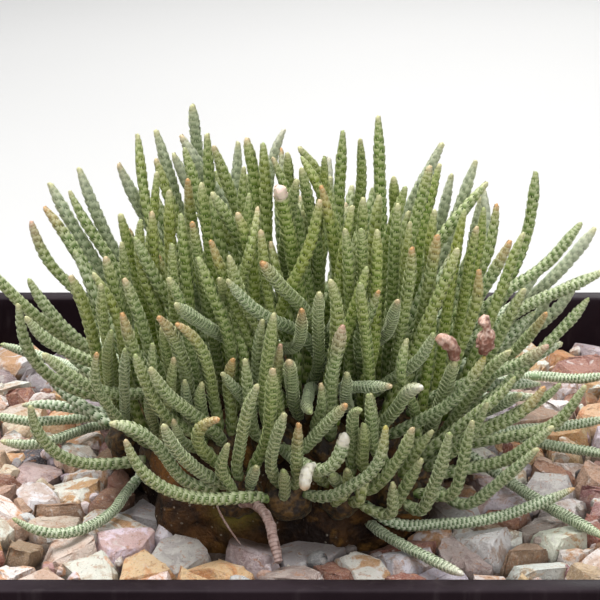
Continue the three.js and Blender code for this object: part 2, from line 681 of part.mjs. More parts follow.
function crownSolid(crown, margin = 0) {
  const turn = new THREE.Quaternion().setFromUnitVectors(V(0, 0, 1), crown.normal);
  const place = (x, y, z) => V(x, y, z).applyQuaternion(turn).add(crown.at);
  const levels = [
    [CROWN.radius + margin, -CROWN.sunk], [CROWN.radius * CROWN.taper + margin, CROWN.height + margin],
  ];
  const rings = levels.map(([radius, height]) => {
    const ring = [];
    for (let n = 0; n < CROWN.sides; n += 1) {
      const angle = 2 * Math.PI * n / CROWN.sides;
      ring.push(place(radius * Math.cos(angle), radius * Math.sin(angle), height));
    }
    return ring;
  });
  return solid(loft(rings, place(0, 0, levels[0][1]), place(0, 0, levels[1][1])));
}

// What of the plant is dead: a limp stem and the remains of flowers
function witheredLine(crown) {
  const pixels = pairs(WITHERED_STEM.pixels);
  const end = atHeight(pixels[0][0], pixels[0][1], STEM.lowest);
  const start = crown.at.y + crown.normal.y * CROWN.height;
  return pixels.map(([u, v], i) => atDepth(u, v, mix(end.y, start, i / (pixels.length - 1)))).reverse();
}

function flowerAxis(flower, stems) {
  const { stem } = stems.find(({ stem: one }) => one.tip && one.tip.join() === flower.on.join());
  const end = stem.points[STEM.points - 1];
  const top = atDepth(flower.top[0], flower.top[1], end.y);
  const along = top.clone().sub(end).normalize();
  return { stem, from: end.clone().addScaledVector(along, GAP), to: top, along };
}

function flowerSolid(flower, stems) {
  const { from, to, along } = flowerAxis(flower, stems);
  const side = V().crossVectors(along, V(0, 1, 0)).normalize();
  const across = V().crossVectors(side, along).normalize();
  const rings = FLOWER.profile.map(([size, t], r) => {
    const ring = [];
    for (let n = 0; n < FLOWER.sides; n += 1) {
      const angle = 2 * Math.PI * (n + 0.5 * r) / FLOWER.sides;
      const radius = flower.radius * size * (1 + FLOWER.fluteDepth * Math.cos(FLOWER.flutes * angle + r));
      const p = from.clone().lerp(to, t).addScaledVector(side, radius * Math.cos(angle));
      ring.push(p.addScaledVector(across, radius * Math.sin(angle)));
    }
    return ring;
  });
  return solid(loft(rings, from, to));
}

// Keeps the stems whose solids stay clear of those of other crowns
function clearStems(stems, crowns, others) {
  const kept = others.map((piece) => ({ piece, box: piece.boundingBox() }));
  crowns.forEach((crown) => {
    const piece = crownSolid(crown);
    kept.push({ piece, box: piece.boundingBox(), crown });
  });
  const apart = (a, b) => [0, 1, 2].some((i) => a.min[i] > b.max[i] || b.min[i] > a.max[i]);
  return stems.filter(({ stem, crown }) => {
    const piece = stemSolid(stemLine(stem, crown), STEM.radius + STEM.clearance);
    const box = piece.boundingBox();
    const meets = kept.some((other) => {
      if (other.crown === crown || apart(box, other.box)) return false;
      return piece.intersect(other.piece).volume() > 0;
    });
    if (!meets) kept.push({ piece, box, crown });
    return !meets;
  });
}

// Gravel: a bed whose top is raised into angular stones. The stones' feet meet
// along the valleys of a jittered grid, and each top is a smaller tilted facet
function stoneTop(feet, lines, random) {
  const middle = feet.reduce((sum, p) => sum.add(p), V()).divideScalar(4);
  const slope = V(random() - 0.5, random() - 0.5, 0).multiplyScalar(GRAVEL.tilt);
  const height = GRAVEL.surface + GRAVEL.rise * (2 * random() - 1);
  const top = feet.map((foot) => {
    const p = foot.clone().lerp(middle, mix(GRAVEL.leastShrink, GRAVEL.mostShrink, random()));
    p.z = height + slope.dot(p.clone().sub(middle)) + GRAVEL.cornerRise * random();
    return p;
  });
  let limit = Infinity;
  const reach = feet[0].distanceTo(feet[2]) / 2 + STEM.radius;
  for (const p of lines.flat()) {
    if (Math.hypot(p.x - middle.x, p.y - middle.y) < reach) limit = Math.min(limit, p.z);
  }
  const over = Math.max(...top.map((p) => p.z)) - (limit - STEM.radius - GAP);
  if (over > 0) {
    for (const p of top) p.z = Math.max(p.z - over, GRAVEL.valley + GRAVEL.leastRise);
  }
  return top;
}

function makeGravel(lines, random) {
  const half = innerHalf(POT.height) + GRAVEL.beyond;
  const cell = 2 * half / GRAVEL.rows;
  const count = GRAVEL.rows + 1;
  const points = [];
  const index = [];
  const quad = (a, b, c, d) => index.push(a, b, c, a, c, d);
  for (let n = 0; n < count * count; n += 1) {
    const [i, j] = [n % count, Math.floor(n / count)];
    const inside = i > 0 && j > 0 && i < GRAVEL.rows && j < GRAVEL.rows;
    const shift = inside ? GRAVEL.jitter * cell : 0;
    const x = -half + i * cell + shift * (2 * random() - 1);
    points.push(V(x, -half + j * cell + shift * (2 * random() - 1), GRAVEL.valley));
  }
  for (let n = 0; n < GRAVEL.rows * GRAVEL.rows; n += 1) {
    const low = n % GRAVEL.rows + count * Math.floor(n / GRAVEL.rows);
    const feet = [low, low + 1, low + count + 1, low + count];
    const top = stoneTop(feet.map((k) => points[k]), lines, random);
    const first = points.length;
    points.push(...top);
    for (let side = 0; side < 4; side += 1) {
      const next = (side + 1) % 4;
      quad(feet[side], feet[next], first + next, first + side);
    }
    quad(first, first + 1, first + 2, first + 3);
  }
  const edge = [];
  for (let i = 0; i < GRAVEL.rows; i += 1) edge.push(i);
  for (let i = 0; i < GRAVEL.rows; i += 1) edge.push(GRAVEL.rows + count * i);
  for (let i = 0; i < GRAVEL.rows; i += 1) edge.push(count * count - 1 - i);
  for (let i = 0; i < GRAVEL.rows; i += 1) edge.push(count * (GRAVEL.rows - i));
  const under = points.length;
  const bottom = SOIL_TOP + GAP - GRAVEL.beyond;
  for (const k of edge) points.push(V(points[k].x, points[k].y, bottom));
  points.push(V(0, 0, bottom));
  edge.forEach((k, i) => {
    const next = (i + 1) % edge.length;
    quad(under + i, under + next, edge[next], k);
    index.push(under + edge.length, under + next, under + i);
  });
  const geometry = new THREE.BufferGeometry().setFromPoints(points);
  geometry.setIndex(index);
  const corner = POT.cornerTop - POT.wall;
  const room = squareLoft([
    [innerHalf(SOIL_TOP) - GAP, corner, SOIL_TOP + GAP], [innerHalf(POT.height) - GAP, corner, POT.height],
  ]);
  return largestPiece(solid(geometry).intersect(room).subtract(caudexSolid(GAP)));
}

// The whole thing
const random = seeded(SEED);
const crowns = crownList();
for (const flat of LYING_STEMS) addLyingStem(crowns, flat);
for (const flat of FACING_STEMS) addFacingStem(crowns, flat, false);
for (const flat of FAR_STEMS) addFacingStem(crowns, flat, true);
addOtherStems(crowns, random);
const growing = crowns.filter((crown) => crown.stems.length > 0);
const everyStem = growing.flatMap((crown) => crown.stems.map((stem) => ({ stem, crown })));
const balls = growing.map((crown) => ({ at: crown.at, radius: CROWN.radius, owner: crown }));
for (const flower of DRIED_FLOWERS) {
  const { stem, from, to } = flowerAxis(flower, everyStem);
  balls.push({ at: from.clone().lerp(to, FLOWER.middle), radius: flower.radius * FLOWER.room, owner: stem });
}
for (const at of witheredLine(crowns[0])) balls.push({ at, radius: STEM.radius, owner: null });
spread(everyStem, balls);

const withered = stemSolid(witheredLine(crowns[0]), WITHERED_STEM.radius)
  .subtract(caudexSolid(GAP)).subtract(crownSolid(crowns[0], GAP));
const flowers = DRIED_FLOWERS.map((flower) => flowerSolid(flower, everyStem));
const stems = clearStems(everyStem, growing, [withered, ...flowers]);
const lines = [...stems.map(({ stem }) => stem.points), witheredLine(crowns[0])];

const plant = new THREE.Group();
plant.add(meshOf('pot', makePot(), COLOUR.pot, 0.5));
const soilBlock = fillBlock(POT.floor + GAP, SOIL_TOP).subtract(caudexSolid(GAP));
plant.add(meshOf('soil', soilBlock, COLOUR.soil, 0.95));
plant.add(meshOf('gravel', makeGravel(lines, random), COLOUR.gravel, 0.85));
plant.add(meshOf('caudex', caudexSolid(0), COLOUR.caudex, 0.8));
plant.add(meshOf('withered_stem', largestPiece(withered), COLOUR.withered, 0.8));
flowers.forEach((flower, i) => plant.add(meshOf(`dried_flower_${i + 1}`, flower, COLOUR.flower, 0.85)));
growing.forEach((crown, i) => {
  const own = stems.filter((entry) => entry.crown === crown);
  const parts = own.map(({ stem }) => stemSolid(stemLine(stem, crown), STEM.radius));
  const tuft = joined([crownSolid(crown), ...parts]).subtract(caudexSolid(GAP));
  const name = `stem_tuft_${String(i + 1).padStart(2, '0')}`;
  plant.add(meshOf(name, largestPiece(tuft), COLOUR.stem, 0.7));
});

export default plant;
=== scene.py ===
import math

import bmesh
import bpy
import numpy as np
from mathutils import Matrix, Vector


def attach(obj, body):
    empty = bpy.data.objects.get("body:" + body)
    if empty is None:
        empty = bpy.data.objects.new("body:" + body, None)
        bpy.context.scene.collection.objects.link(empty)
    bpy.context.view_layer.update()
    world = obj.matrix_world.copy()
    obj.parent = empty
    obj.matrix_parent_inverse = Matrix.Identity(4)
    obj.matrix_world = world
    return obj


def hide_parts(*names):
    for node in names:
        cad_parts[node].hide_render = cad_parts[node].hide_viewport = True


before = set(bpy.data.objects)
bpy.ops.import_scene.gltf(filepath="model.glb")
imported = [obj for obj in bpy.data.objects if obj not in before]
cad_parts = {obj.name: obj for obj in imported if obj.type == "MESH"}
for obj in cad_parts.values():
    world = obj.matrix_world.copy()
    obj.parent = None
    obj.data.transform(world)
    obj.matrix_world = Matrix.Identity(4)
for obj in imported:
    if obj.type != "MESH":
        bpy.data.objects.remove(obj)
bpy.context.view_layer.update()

MM = 0.001

# WHERE THE STEMS ARE, by the same named values and rules as in the CAD source, in millimetres
POT = dict(half_top=75, half_base=66, height=72, wall=3.5, floor=3.2, corner_top=8, corner_base=6,
           lip_height=6, lip_proud=1.2)
DRAIN = dict(radius=4, offset=27)
GAP = 0.3
SOIL_TOP = 53
GRAVEL = dict(valley=58.5, surface=62.2, least_rise=0.4)
CAUDEX = dict(x=-2, y=-4, equator=63, radius=32, dome_height=18, dome_power=2.4, lobes=5, lobe_depth=0.085,
              lobes_from=50, lobes_full=60, knobs=((0.03, 8, 0.21), (0.02, 13, -0.3)))
ROOT_PROFILE = ((30.5, 58.5), (24, 50), (14, 40), (8, 28), (4, 18))
ROOT_TIP = 15.5
STEM = dict(radius=1.25, points=15, spacing=3.4, lowest=64.4)
PUSH = dict(rounds=90, share=0.3, longest=0.8, root_room=0.7, room_per_point=0.1, ball_share=0.5,
            ball_room=0.4, first_lifted=3)
CROWN = dict(radius=4.3, height=2.5, spread=2.7, spread_fade=3, lean_point=4)
CROWN_RINGS = ((0.955, 20, -107.8, 19), (0.71, 14, -97, -1), (0.44, 9, -80, -1), (0.165, 3, -60, -1))
CANOPY = dict(at=(-1, 0, 62), radius=(61, 58, 68), far_share=0.45, far_from=8)
FACING = dict(hidden=40, root_share=0.5, deepest_root=31, lean=4, lean_share=0.8, bulge=0.3)
COST = dict(turn=14, full_turn_gap=25, gap=0.12, longest=52, over=2, depth=0.35, depth_share=0.5, deepest=50,
            crowding=2.2)
OTHER = dict(count=160, most_rise=0.99, least_rise=0.03, wobble=0.3, steep_from=0.6, steep_full=0.9,
             shortest=0.84, steep_cut=0.1, front=4, front_spread=14, steep_front=-16,
             root_x=0.5, root_y=0.52, crowding=1.2, least_bend=0.12, bend_spread=0.1)
SEED = 20417
VIEW = dict(elevation=19.1, distance=430, focal=2263, centre=300, height=96)

# Stems read in the front view, as pixels u, v from the tip down
FACING_STEMS = (
    (34, 218, 42, 245, 60, 270, 90, 292), (42, 208, 62, 230, 80, 257, 92, 278),
    (76, 187, 82, 210, 100, 240, 110, 258), (141, 134, 145, 180, 148, 218), (120, 213, 127, 239, 130, 250),
    (135, 237, 148, 265, 160, 285, 178, 310), (152, 211, 154, 249), (154, 152, 171, 190),
    (184, 147, 196, 184), (207, 133, 210, 187), (213, 145, 225, 175, 235, 205),
    (246, 137, 256, 177, 258, 205), (263, 142, 267, 198, 268, 235), (184, 180, 186, 223),
    (201, 182, 206, 239), (211, 192, 236, 230), (173, 188, 173, 239), (181, 213, 183, 253, 186, 291),
    (209, 241, 225, 275), (237, 212, 251, 249, 257, 286), (283, 184, 285, 253, 283, 290),
    (293, 181, 295, 249), (301, 167, 304, 239), (343, 130, 337, 218), (360, 138, 360, 187, 357, 195),
    (378, 115, 383, 223), (406, 186, 382, 253), (398, 203, 396, 250), (321, 185, 333, 239, 335, 271),
    (320, 199, 314, 253, 295, 286, 290, 312), (345, 228, 348, 253, 350, 301, 351, 332),
    (440, 163, 419, 239), (480, 177, 455, 205, 430, 240, 415, 262), (497, 203, 490, 253, 485, 264),
    (536, 171, 532, 218, 527, 250), (524, 232, 514, 253, 507, 281, 501, 301),
    (511, 240, 496, 268, 489, 281), (582, 222, 556, 253, 551, 267, 522, 279, 514, 285),
    (441, 236, 435, 265, 427, 300), (454, 246, 446, 271, 429, 312, 416, 343),
    (412, 247, 412, 276, 406, 312, 403, 342), (606, 270, 584, 281, 563, 288, 543, 295, 527, 301),
    (-20, 262, 0, 279, 31, 310, 61, 327, 103, 356, 115, 366),
    (28, 278, 34, 291, 61, 322, 80, 335, 113, 356), (18, 303, 22, 340, 41, 373, 82, 396, 125, 403),
    (25, 316, 43, 343, 82, 364, 115, 377), (42, 353, 66, 373, 103, 394, 144, 392),
    (70, 275, 80, 293, 88, 312, 92, 332), (101, 283, 100, 307, 103, 337), (105, 256, 112, 281, 118, 301),
    (124, 278, 133, 301, 144, 327, 148, 353), (122, 313, 128, 332, 135, 351),
    (135, 354, 140, 368, 151, 392, 163, 413), (150, 367, 164, 392, 187, 407, 207, 419, 225, 435),
    (200, 255, 207, 276, 214, 296, 224, 317), (229, 255, 235, 276, 243, 293),
    (227, 279, 238, 300, 255, 316, 280, 326, 303, 332), (262, 262, 271, 276, 281, 291, 291, 296),
    (174, 305, 191, 315, 232, 334, 253, 341), (310, 305, 307, 330, 295, 344, 280, 343),
    (160, 316, 174, 332, 184, 373, 183, 398), (174, 322, 191, 330, 207, 363, 211, 394),
    (258, 384, 247, 411, 243, 443, 239, 482), (273, 368, 268, 415, 262, 453),
    (274, 313, 272, 332, 263, 394), (266, 324, 260, 343, 256, 368), (288, 360, 294, 398),
    (316, 296, 318, 322, 316, 363, 311, 384), (330, 279, 334, 301, 331, 332),
    (343, 325, 336, 353, 330, 378), (360, 282, 363, 312, 367, 337),
    (398, 300, 391, 312, 380, 343, 352, 365, 341, 370), (434, 333, 424, 358, 393, 377, 383, 381),
    (455, 361, 453, 373, 446, 398), (392, 386, 372, 386, 351, 384),
    (423, 387, 408, 388, 398, 407, 384, 419), (479, 269, 480, 291, 478, 312, 463, 337, 460, 353),
    (525, 288, 507, 322, 501, 337), (485, 356, 479, 368, 441, 403, 399, 424),
    (547, 312, 537, 327, 522, 343, 507, 353), (589, 297, 573, 315, 543, 340),
    (549, 345, 522, 364, 491, 376), (545, 386, 530, 409, 501, 426, 453, 447),
    (586, 385, 568, 411, 556, 428), (473, 420, 466, 443, 459, 472, 449, 501),
    (30, 405, 34, 430, 52, 451, 80, 463, 122, 459, 149, 453),
    (109, 423, 134, 426, 159, 442, 176, 463, 191, 484), (125, 439, 134, 461, 153, 480, 182, 493, 220, 499),
    (163, 424, 176, 447, 201, 468, 230, 487), (220, 419, 205, 422, 195, 442, 207, 465),
    (262, 463, 249, 482, 237, 497), (228, 443, 216, 470, 232, 492),
    (285, 413, 277, 443, 275, 472, 290, 495), (292, 424, 295, 463, 300, 492),
    (345, 432, 342, 453, 332, 472, 319, 468), (386, 425, 382, 449, 371, 466, 350, 470),
    (413, 427, 403, 453, 382, 476, 373, 487), (347, 404, 329, 422, 311, 442, 300, 453),
    (418, 457, 407, 482, 398, 507), (450, 432, 442, 463, 430, 491, 422, 510), (392, 472, 388, 510),
    (554, 426, 539, 438, 510, 459), (538, 448, 510, 472, 482, 491, 463, 505), (488, 402, 470, 440),
    (335, 440, 330, 485), (360, 425, 362, 480), (322, 430, 325, 480),
)
FAR_STEMS = (
    (49, 182, 65, 217, 90, 253, 105, 280), (77, 170, 92, 205, 113, 245), (118, 163, 143, 203),
    (156, 135, 165, 170), (167, 147, 179, 182), (180, 135, 204, 179), (192, 104, 196, 135, 202, 165),
    (238, 141, 235, 180), (329, 156, 329, 198), (443, 142, 430, 170, 415, 198), (479, 166, 465, 205),
    (452, 173, 445, 213), (596, 227, 563, 269, 544, 284), (577, 284, 558, 312), (550, 295, 535, 325),
    (157, 203, 165, 249, 168, 281),
)
LYING_STEMS = (
    (0, 344, 15, 349, 40, 356), (-15, 413, 19, 420, 57, 419, 96, 415, 117, 416),
    (0, 441, 25, 447, 54, 440, 86, 426, 107, 420),
    (12, 518, 27, 531, 57, 537, 86, 528, 113, 512, 126, 491, 134, 476),
    (620, 373, 584, 381, 563, 380, 535, 370), (615, 418, 568, 432, 549, 438),
    (620, 457, 568, 445, 547, 442, 526, 434), (606, 538, 568, 516, 539, 499, 516, 482),
    (464, 575, 449, 568, 434, 556, 415, 545, 392, 528, 371, 508, 352, 499),
    (575, 488, 549, 499, 520, 508, 482, 518, 443, 520, 401, 516),
)
# Short stems that show between the others
MINOR_STEMS = (
    (125, 241, 126, 271), (142, 227, 147, 249), (157, 171, 157, 202), (274, 156, 279, 177),
    (287, 152, 290, 182), (297, 147, 311, 167), (192, 221, 197, 253), (172, 243, 173, 266),
    (244, 166, 243, 198), (249, 193, 246, 218), (258, 206, 254, 230), (260, 229, 262, 258),
    (302, 158, 312, 173), (319, 160, 316, 187), (394, 176, 392, 198), (362, 198, 361, 218),
    (354, 204, 350, 230), (361, 228, 361, 262), (377, 229, 375, 253), (410, 221, 407, 253),
    (430, 165, 426, 182), (435, 209, 427, 239), (484, 207, 482, 239), (465, 209, 458, 239),
    (477, 226, 471, 253), (93, 272, 95, 285), (122, 330, 115, 351), (97, 352, 94, 368, 94, 384),
    (126, 346, 123, 373), (217, 271, 222, 286), (168, 277, 175, 289, 180, 304), (156, 340, 157, 363),
    (161, 331, 166, 353), (174, 357, 170, 384), (189, 381, 188, 398), (198, 382, 198, 398),
    (224, 370, 232, 389), (231, 362, 229, 373), (245, 358, 251, 384), (280, 344, 281, 368),
    (367, 266, 365, 286), (379, 290, 375, 312), (407, 338, 409, 363), (345, 371, 347, 399),
    (324, 381, 324, 398), (511, 350, 501, 358, 491, 366), (561, 383, 553, 394), (516, 377, 508, 395),
    (519, 393, 508, 403), (175, 415, 182, 438), (285, 463, 290, 490),
    (311, 413, 312, 388), (433, 430, 420, 448), (366, 396, 367, 456), (375, 398, 381, 436),
    (354, 408, 358, 466), (341, 470, 339, 494), (362, 472, 358, 494),
)
MINOR_FAR_STEMS = (
    (285, 128, 272, 146), (281, 147, 283, 165), (346, 202, 344, 223), (483, 186, 482, 208),
    (481, 196, 475, 213), (545, 259, 540, 270), (321, 273, 325, 291), (383, 271, 379, 290),
    (151, 249, 153, 268),
)
WITHERED_STEM = (288, 556, 279, 541, 272, 522, 258, 508, 246, 503)
FLOWERS = (dict(on=(485, 356), top=(487, 316), radius=1.7), dict(on=(455, 361), top=(434, 338), radius=1.35))
FLOWER = dict(middle=0.4, room=1.5)


def seeded(seed):
    state = [seed & 0xFFFFFFFF]

    def draw():
        state[0] = (state[0] + 0x6D2B79F5) & 0xFFFFFFFF
        s = state[0]
        t = ((s ^ (s >> 15)) * (s | 1)) & 0xFFFFFFFF
        t = ((t + (((t ^ (t >> 7)) * (t | 61)) & 0xFFFFFFFF)) & 0xFFFFFFFF) ^ t
        return ((t ^ (t >> 14)) & 0xFFFFFFFF) / 4294967296

    return draw


def clamp(value, low, high):
    return min(high, max(low, value))


def mix(a, b, t):
    return a + (b - a) * t


def unit(v):
    return v / np.linalg.norm(v, axis=-1, keepdims=True)


def lobe_factor(angle, height):
    """How far the caudex stands out at an angle and height, as a part of its radius."""
    lobes = -CAUDEX["lobe_depth"] * np.cos(CAUDEX["lobes"] * (angle + math.pi / 2))
    knobs = sum(depth * np.sin(count * angle + twist * height) for depth, count, twist in CAUDEX["knobs"])
    fade = np.clip((height - CAUDEX["lobes_from"]) / (CAUDEX["lobes_full"] - CAUDEX["lobes_from"]), 0, 1)
    return 1 + (lobes + knobs) * fade


def dome_point(angle, reach):
    power = CAUDEX["dome_power"]
    rise = CAUDEX["dome_height"] * (1 - np.minimum(reach, 1) ** power) ** (1 / power)
    z = CAUDEX["equator"] + rise
    radius = CAUDEX["radius"] * lobe_factor(angle, z) * reach
    x, y = CAUDEX["x"] + radius * np.cos(angle), CAUDEX["y"] + radius * np.sin(angle)
    return np.stack([x, y, z + 0 * radius], -1)


class Crown:
    def __init__(self, at, normal):
        self.at = at
        self.normal = normal
        self.stems = []


class Stem:
    def __init__(self, points, crown, tip=None, kind="other"):
        self.points = points
        self.crown = crown
        self.tip = tip
        self.kind = kind


def crown_list():
    crowns = []
    for reach, count, start, skip in CROWN_RINGS:
        for i in range(count):
            if i == skip:
                continue
            angle = math.radians(start + 360 * i / count)
            along = dome_point(angle + 0.02, reach) - dome_point(angle - 0.02, reach)
            across = dome_point(angle, reach + 0.02) - dome_point(angle, reach - 0.02)
            crowns.append(Crown(dome_point(angle, reach), unit(np.cross(across, along))))
    return crowns


TILT_SIN = math.sin(math.radians(VIEW["elevation"]))
TILT_COS = math.cos(math.radians(VIEW["elevation"]))
EYE = np.array([0, -VIEW["distance"] * TILT_COS, VIEW["height"] + VIEW["distance"] * TILT_SIN])


def sight(u, v):
    right = (u - VIEW["centre"]) / VIEW["focal"]
    up = (VIEW["centre"] - v) / VIEW["focal"]
    return np.array([right, TILT_COS + up * TILT_SIN, -TILT_SIN + up * TILT_COS])


def at_depth(u, v, y):
    direction = sight(u, v)
    return EYE + direction * ((y - EYE[1]) / direction[1])


def at_height(u, v, z):
    direction = sight(u, v)
    return EYE + direction * ((z - EYE[2]) / direction[2])


def to_pixel(p):
    depth = VIEW["distance"] + p[..., 1] * TILT_COS - (p[..., 2] - VIEW["height"]) * TILT_SIN
    rise = p[..., 1] * TILT_SIN + (p[..., 2] - VIEW["height"]) * TILT_COS
    scale = VIEW["focal"] / depth
    return np.stack([VIEW["centre"] + scale * p[..., 0], VIEW["centre"] - scale * rise], -1)


def canopy_depth(u, v, far):
    """The depth at which a line of sight meets the space of the tips, on its near or far side."""
    radius = np.array(CANOPY["radius"], float)
    start = (EYE - np.array(CANOPY["at"])) / radius
    direction = sight(u, v)
    step = direction / radius
    a = step @ step
    b = start @ step
    spread = math.sqrt(max(0, b * b - a * (start @ start - 1))) / a
    middle = EYE[1] + direction[1] * (-b / a)
    if far:
        return max(middle + CANOPY["far_share"] * spread * direction[1], CANOPY["far_from"])
    return middle - spread * direction[1]


def path_length(pixels):
    return float(np.linalg.norm(np.diff(pixels, axis=0), axis=1).sum()) if len(pixels) > 1 else 0.0


def crown_cost(crown, pixels, tip_y):
    """How poor a root a crown is for a stem seen at these pixels from the tip down."""
    last, before = pixels[-1], pixels[-2]
    along = last - before
    hidden = to_pixel(crown.at) - last
    gap = np.linalg.norm(hidden)
    cosine = along @ hidden / (np.linalg.norm(along) * gap + 1e-6)
    turn = math.acos(clamp(cosine, -1, 1)) * min(1, gap / COST["full_turn_gap"])
    millimetres = (path_length(pixels) + gap) * VIEW["distance"] / VIEW["focal"]
    over = max(0, math.hypot(millimetres, tip_y - crown.at[1]) - COST["longest"])
    wanted = clamp(tip_y, -COST["deepest"], COST["deepest"]) * COST["depth_share"]
    depth = abs(crown.at[1] - wanted)
    bend = turn * COST["turn"] + gap * COST["gap"]
    return bend + over * COST["over"] + depth * COST["depth"] + len(crown.stems) * COST["crowding"]


def resample(points, count):
    points = np.array(points)
    lengths = np.concatenate([[0], np.cumsum(np.linalg.norm(np.diff(points, axis=0), axis=1))])
    want = lengths[-1] * np.arange(count) / (count - 1)
    return np.stack([np.interp(want, lengths, points[:, i]) for i in range(3)], -1)


def smooth(points, passes):
    points = points.copy()
    for _ in range(passes):
        points[..., 1:-1, :] = (2 * points[..., 1:-1, :] + points[..., :-2, :] + points[..., 2:, :]) / 4
    return points


def add_stem(crowns, pixels, tip_y, place, kind):
    crown = crowns[int(np.argmin([crown_cost(c, pixels, tip_y) for c in crowns]))]
    route = np.vstack([pixels, to_pixel(crown.at)])
    whole = path_length(route)
    points = [crown.at]
    for i in range(len(pixels) - 1, -1, -1):
        points.append(place(i, 1 - path_length(route[:i + 1]) / whole, crown))
    line = smooth(resample(points, STEM["points"]), 3)
    stem = Stem(line, crown, tuple(int(c) for c in pixels[0]), kind)
    crown.stems.append(stem)
    return stem


def add_facing_stem(crowns, flat, far, kind):
    pixels = np.array(flat, float).reshape(-1, 2)
    wanted = canopy_depth(*pixels[0], far)
    root_y = clamp(wanted * FACING["root_share"], -FACING["deepest_root"], FACING["deepest_root"])
    length = (path_length(pixels) + FACING["hidden"]) * VIEW["distance"] / VIEW["focal"]
    lean = FACING["lean"] + FACING["lean_share"] * length
    tip_y = clamp(wanted, root_y - lean, root_y + lean)

    def place(i, s, crown):
        return at_depth(*pixels[i], mix(crown.at[1], tip_y, s * (1 + FACING["bulge"] * (1 - s))))

    return add_stem(crowns, pixels, tip_y, place, kind)


def add_lying_stem(crowns, flat):
    pixels = np.array(flat, float).reshape(-1, 2)
    height = STEM["lowest"] + STEM["radius"] / 2
    depths = [0] * len(pixels)
    lowest, y = -math.inf, 0
    for i in range(len(pixels) - 1, -1, -1):
        if pixels[i][1] >= lowest:
            lowest = pixels[i][1]
            y = at_height(*pixels[i], height)[1]
        depths[i] = y
    return add_stem(crowns, pixels, depths[0], lambda i, s, crown: at_depth(*pixels[i], depths[i]), "lying")


def add_other_stems(crowns, random):
    golden = math.pi * (3 - math.sqrt(5))
    for i in range(OTHER["count"]):
        rise = mix(OTHER["most_rise"], OTHER["least_rise"], (i + 0.5) / OTHER["count"])
        angle = golden * i + OTHER["wobble"] * random()
        side = math.sqrt(1 - rise * rise)
        steep = clamp((rise - OTHER["steep_from"]) / (OTHER["steep_full"] - OTHER["steep_from"]), 0, 1)
        size = mix(OTHER["shortest"], 1, random()) - OTHER["steep_cut"] * steep
        tip = np.array([
            CANOPY["at"][0] + CANOPY["radius"][0] * side * math.cos(angle) * size,
            CANOPY["at"][1] + CANOPY["radius"][1] * side * math.sin(angle) * size,
            max(CANOPY["at"][2] + CANOPY["radius"][2] * rise * size, STEM["lowest"] + 1)])
        if tip[1] < mix(OTHER["front_spread"] * random() + OTHER["front"], OTHER["steep_front"], steep):
            continue
        costs = [math.hypot(c.at[0] - CAUDEX["x"] - OTHER["root_x"] * tip[0],
                            c.at[1] - CAUDEX["y"] - OTHER["root_y"] * tip[1])
                 + len(c.stems) * OTHER["crowding"] for c in crowns]
        crown = crowns[int(np.argmin(costs))]
        straight = tip - crown.at
        bend = straight * (1, 1, 0) * (OTHER["least_bend"] + OTHER["bend_spread"] * random())
        middle = crown.at + straight * 0.5 + bend
        line = smooth(resample([crown.at, middle, tip], STEM["points"]), 4)
        crown.stems.append(Stem(line, crown))


SAMPLE_STEPS = np.arange(1, STEM["points"] - 0.5, 0.5)
PAIRS_AT_ONCE = 1500


def push_pairs(push, lines, crown_of, spacing, fixed):
    """Adds to push what moves stems apart where their samples are nearer than the spacing."""
    low = np.minimum(np.floor(SAMPLE_STEPS).astype(int), STEM["points"] - 2)
    samples = lines[:, low] + (lines[:, low + 1] - lines[:, low]) * (SAMPLE_STEPS - low)[None, :, None]
    least, most = samples.min(1), samples.max(1)
    near = ((least[:, None] - spacing < most[None]) & (least[None] - spacing < most[:, None])).all(-1)
    ones, twos = np.nonzero(np.triu(near, 1))
    moving = (ones >= fixed) | (twos >= fixed)
    ones, twos = ones[moving], twos[moving]
    floors, ceilings = np.floor(SAMPLE_STEPS).astype(int), np.ceil(SAMPLE_STEPS).astype(int)
    for start in range(0, len(ones), PAIRS_AT_ONCE):
        a, b = ones[start:start + PAIRS_AT_ONCE], twos[start:start + PAIRS_AT_ONCE]
        apart = samples[a][:, :, None] - samples[b][:, None]
        distance = np.sqrt((apart ** 2).sum(-1))
        room = np.full(distance.shape, spacing)
        steps = np.minimum(SAMPLE_STEPS[:, None], SAMPLE_STEPS[None])
        closer = spacing * np.minimum(1, PUSH["root_room"] + PUSH["room_per_point"] * steps)
        room[crown_of[a] == crown_of[b]] = closer
        pair, i, j = np.nonzero((distance < room) & (distance >= 1e-6))
        gap = distance[pair, i, j]
        away = apart[pair, i, j] * (PUSH["share"] * (room[pair, i, j] - gap) / gap)[:, None]
        for steps_of in (floors, ceilings):
            np.add.at(push, (a[pair], steps_of[i]), away)
            np.add.at(push, (b[pair], steps_of[j]), -away)


def clamp_length(v, most):
    length = np.linalg.norm(v, axis=-1, keepdims=True)
    return np.where(length > most, v * (most / np.maximum(length, 1e-12)), v)


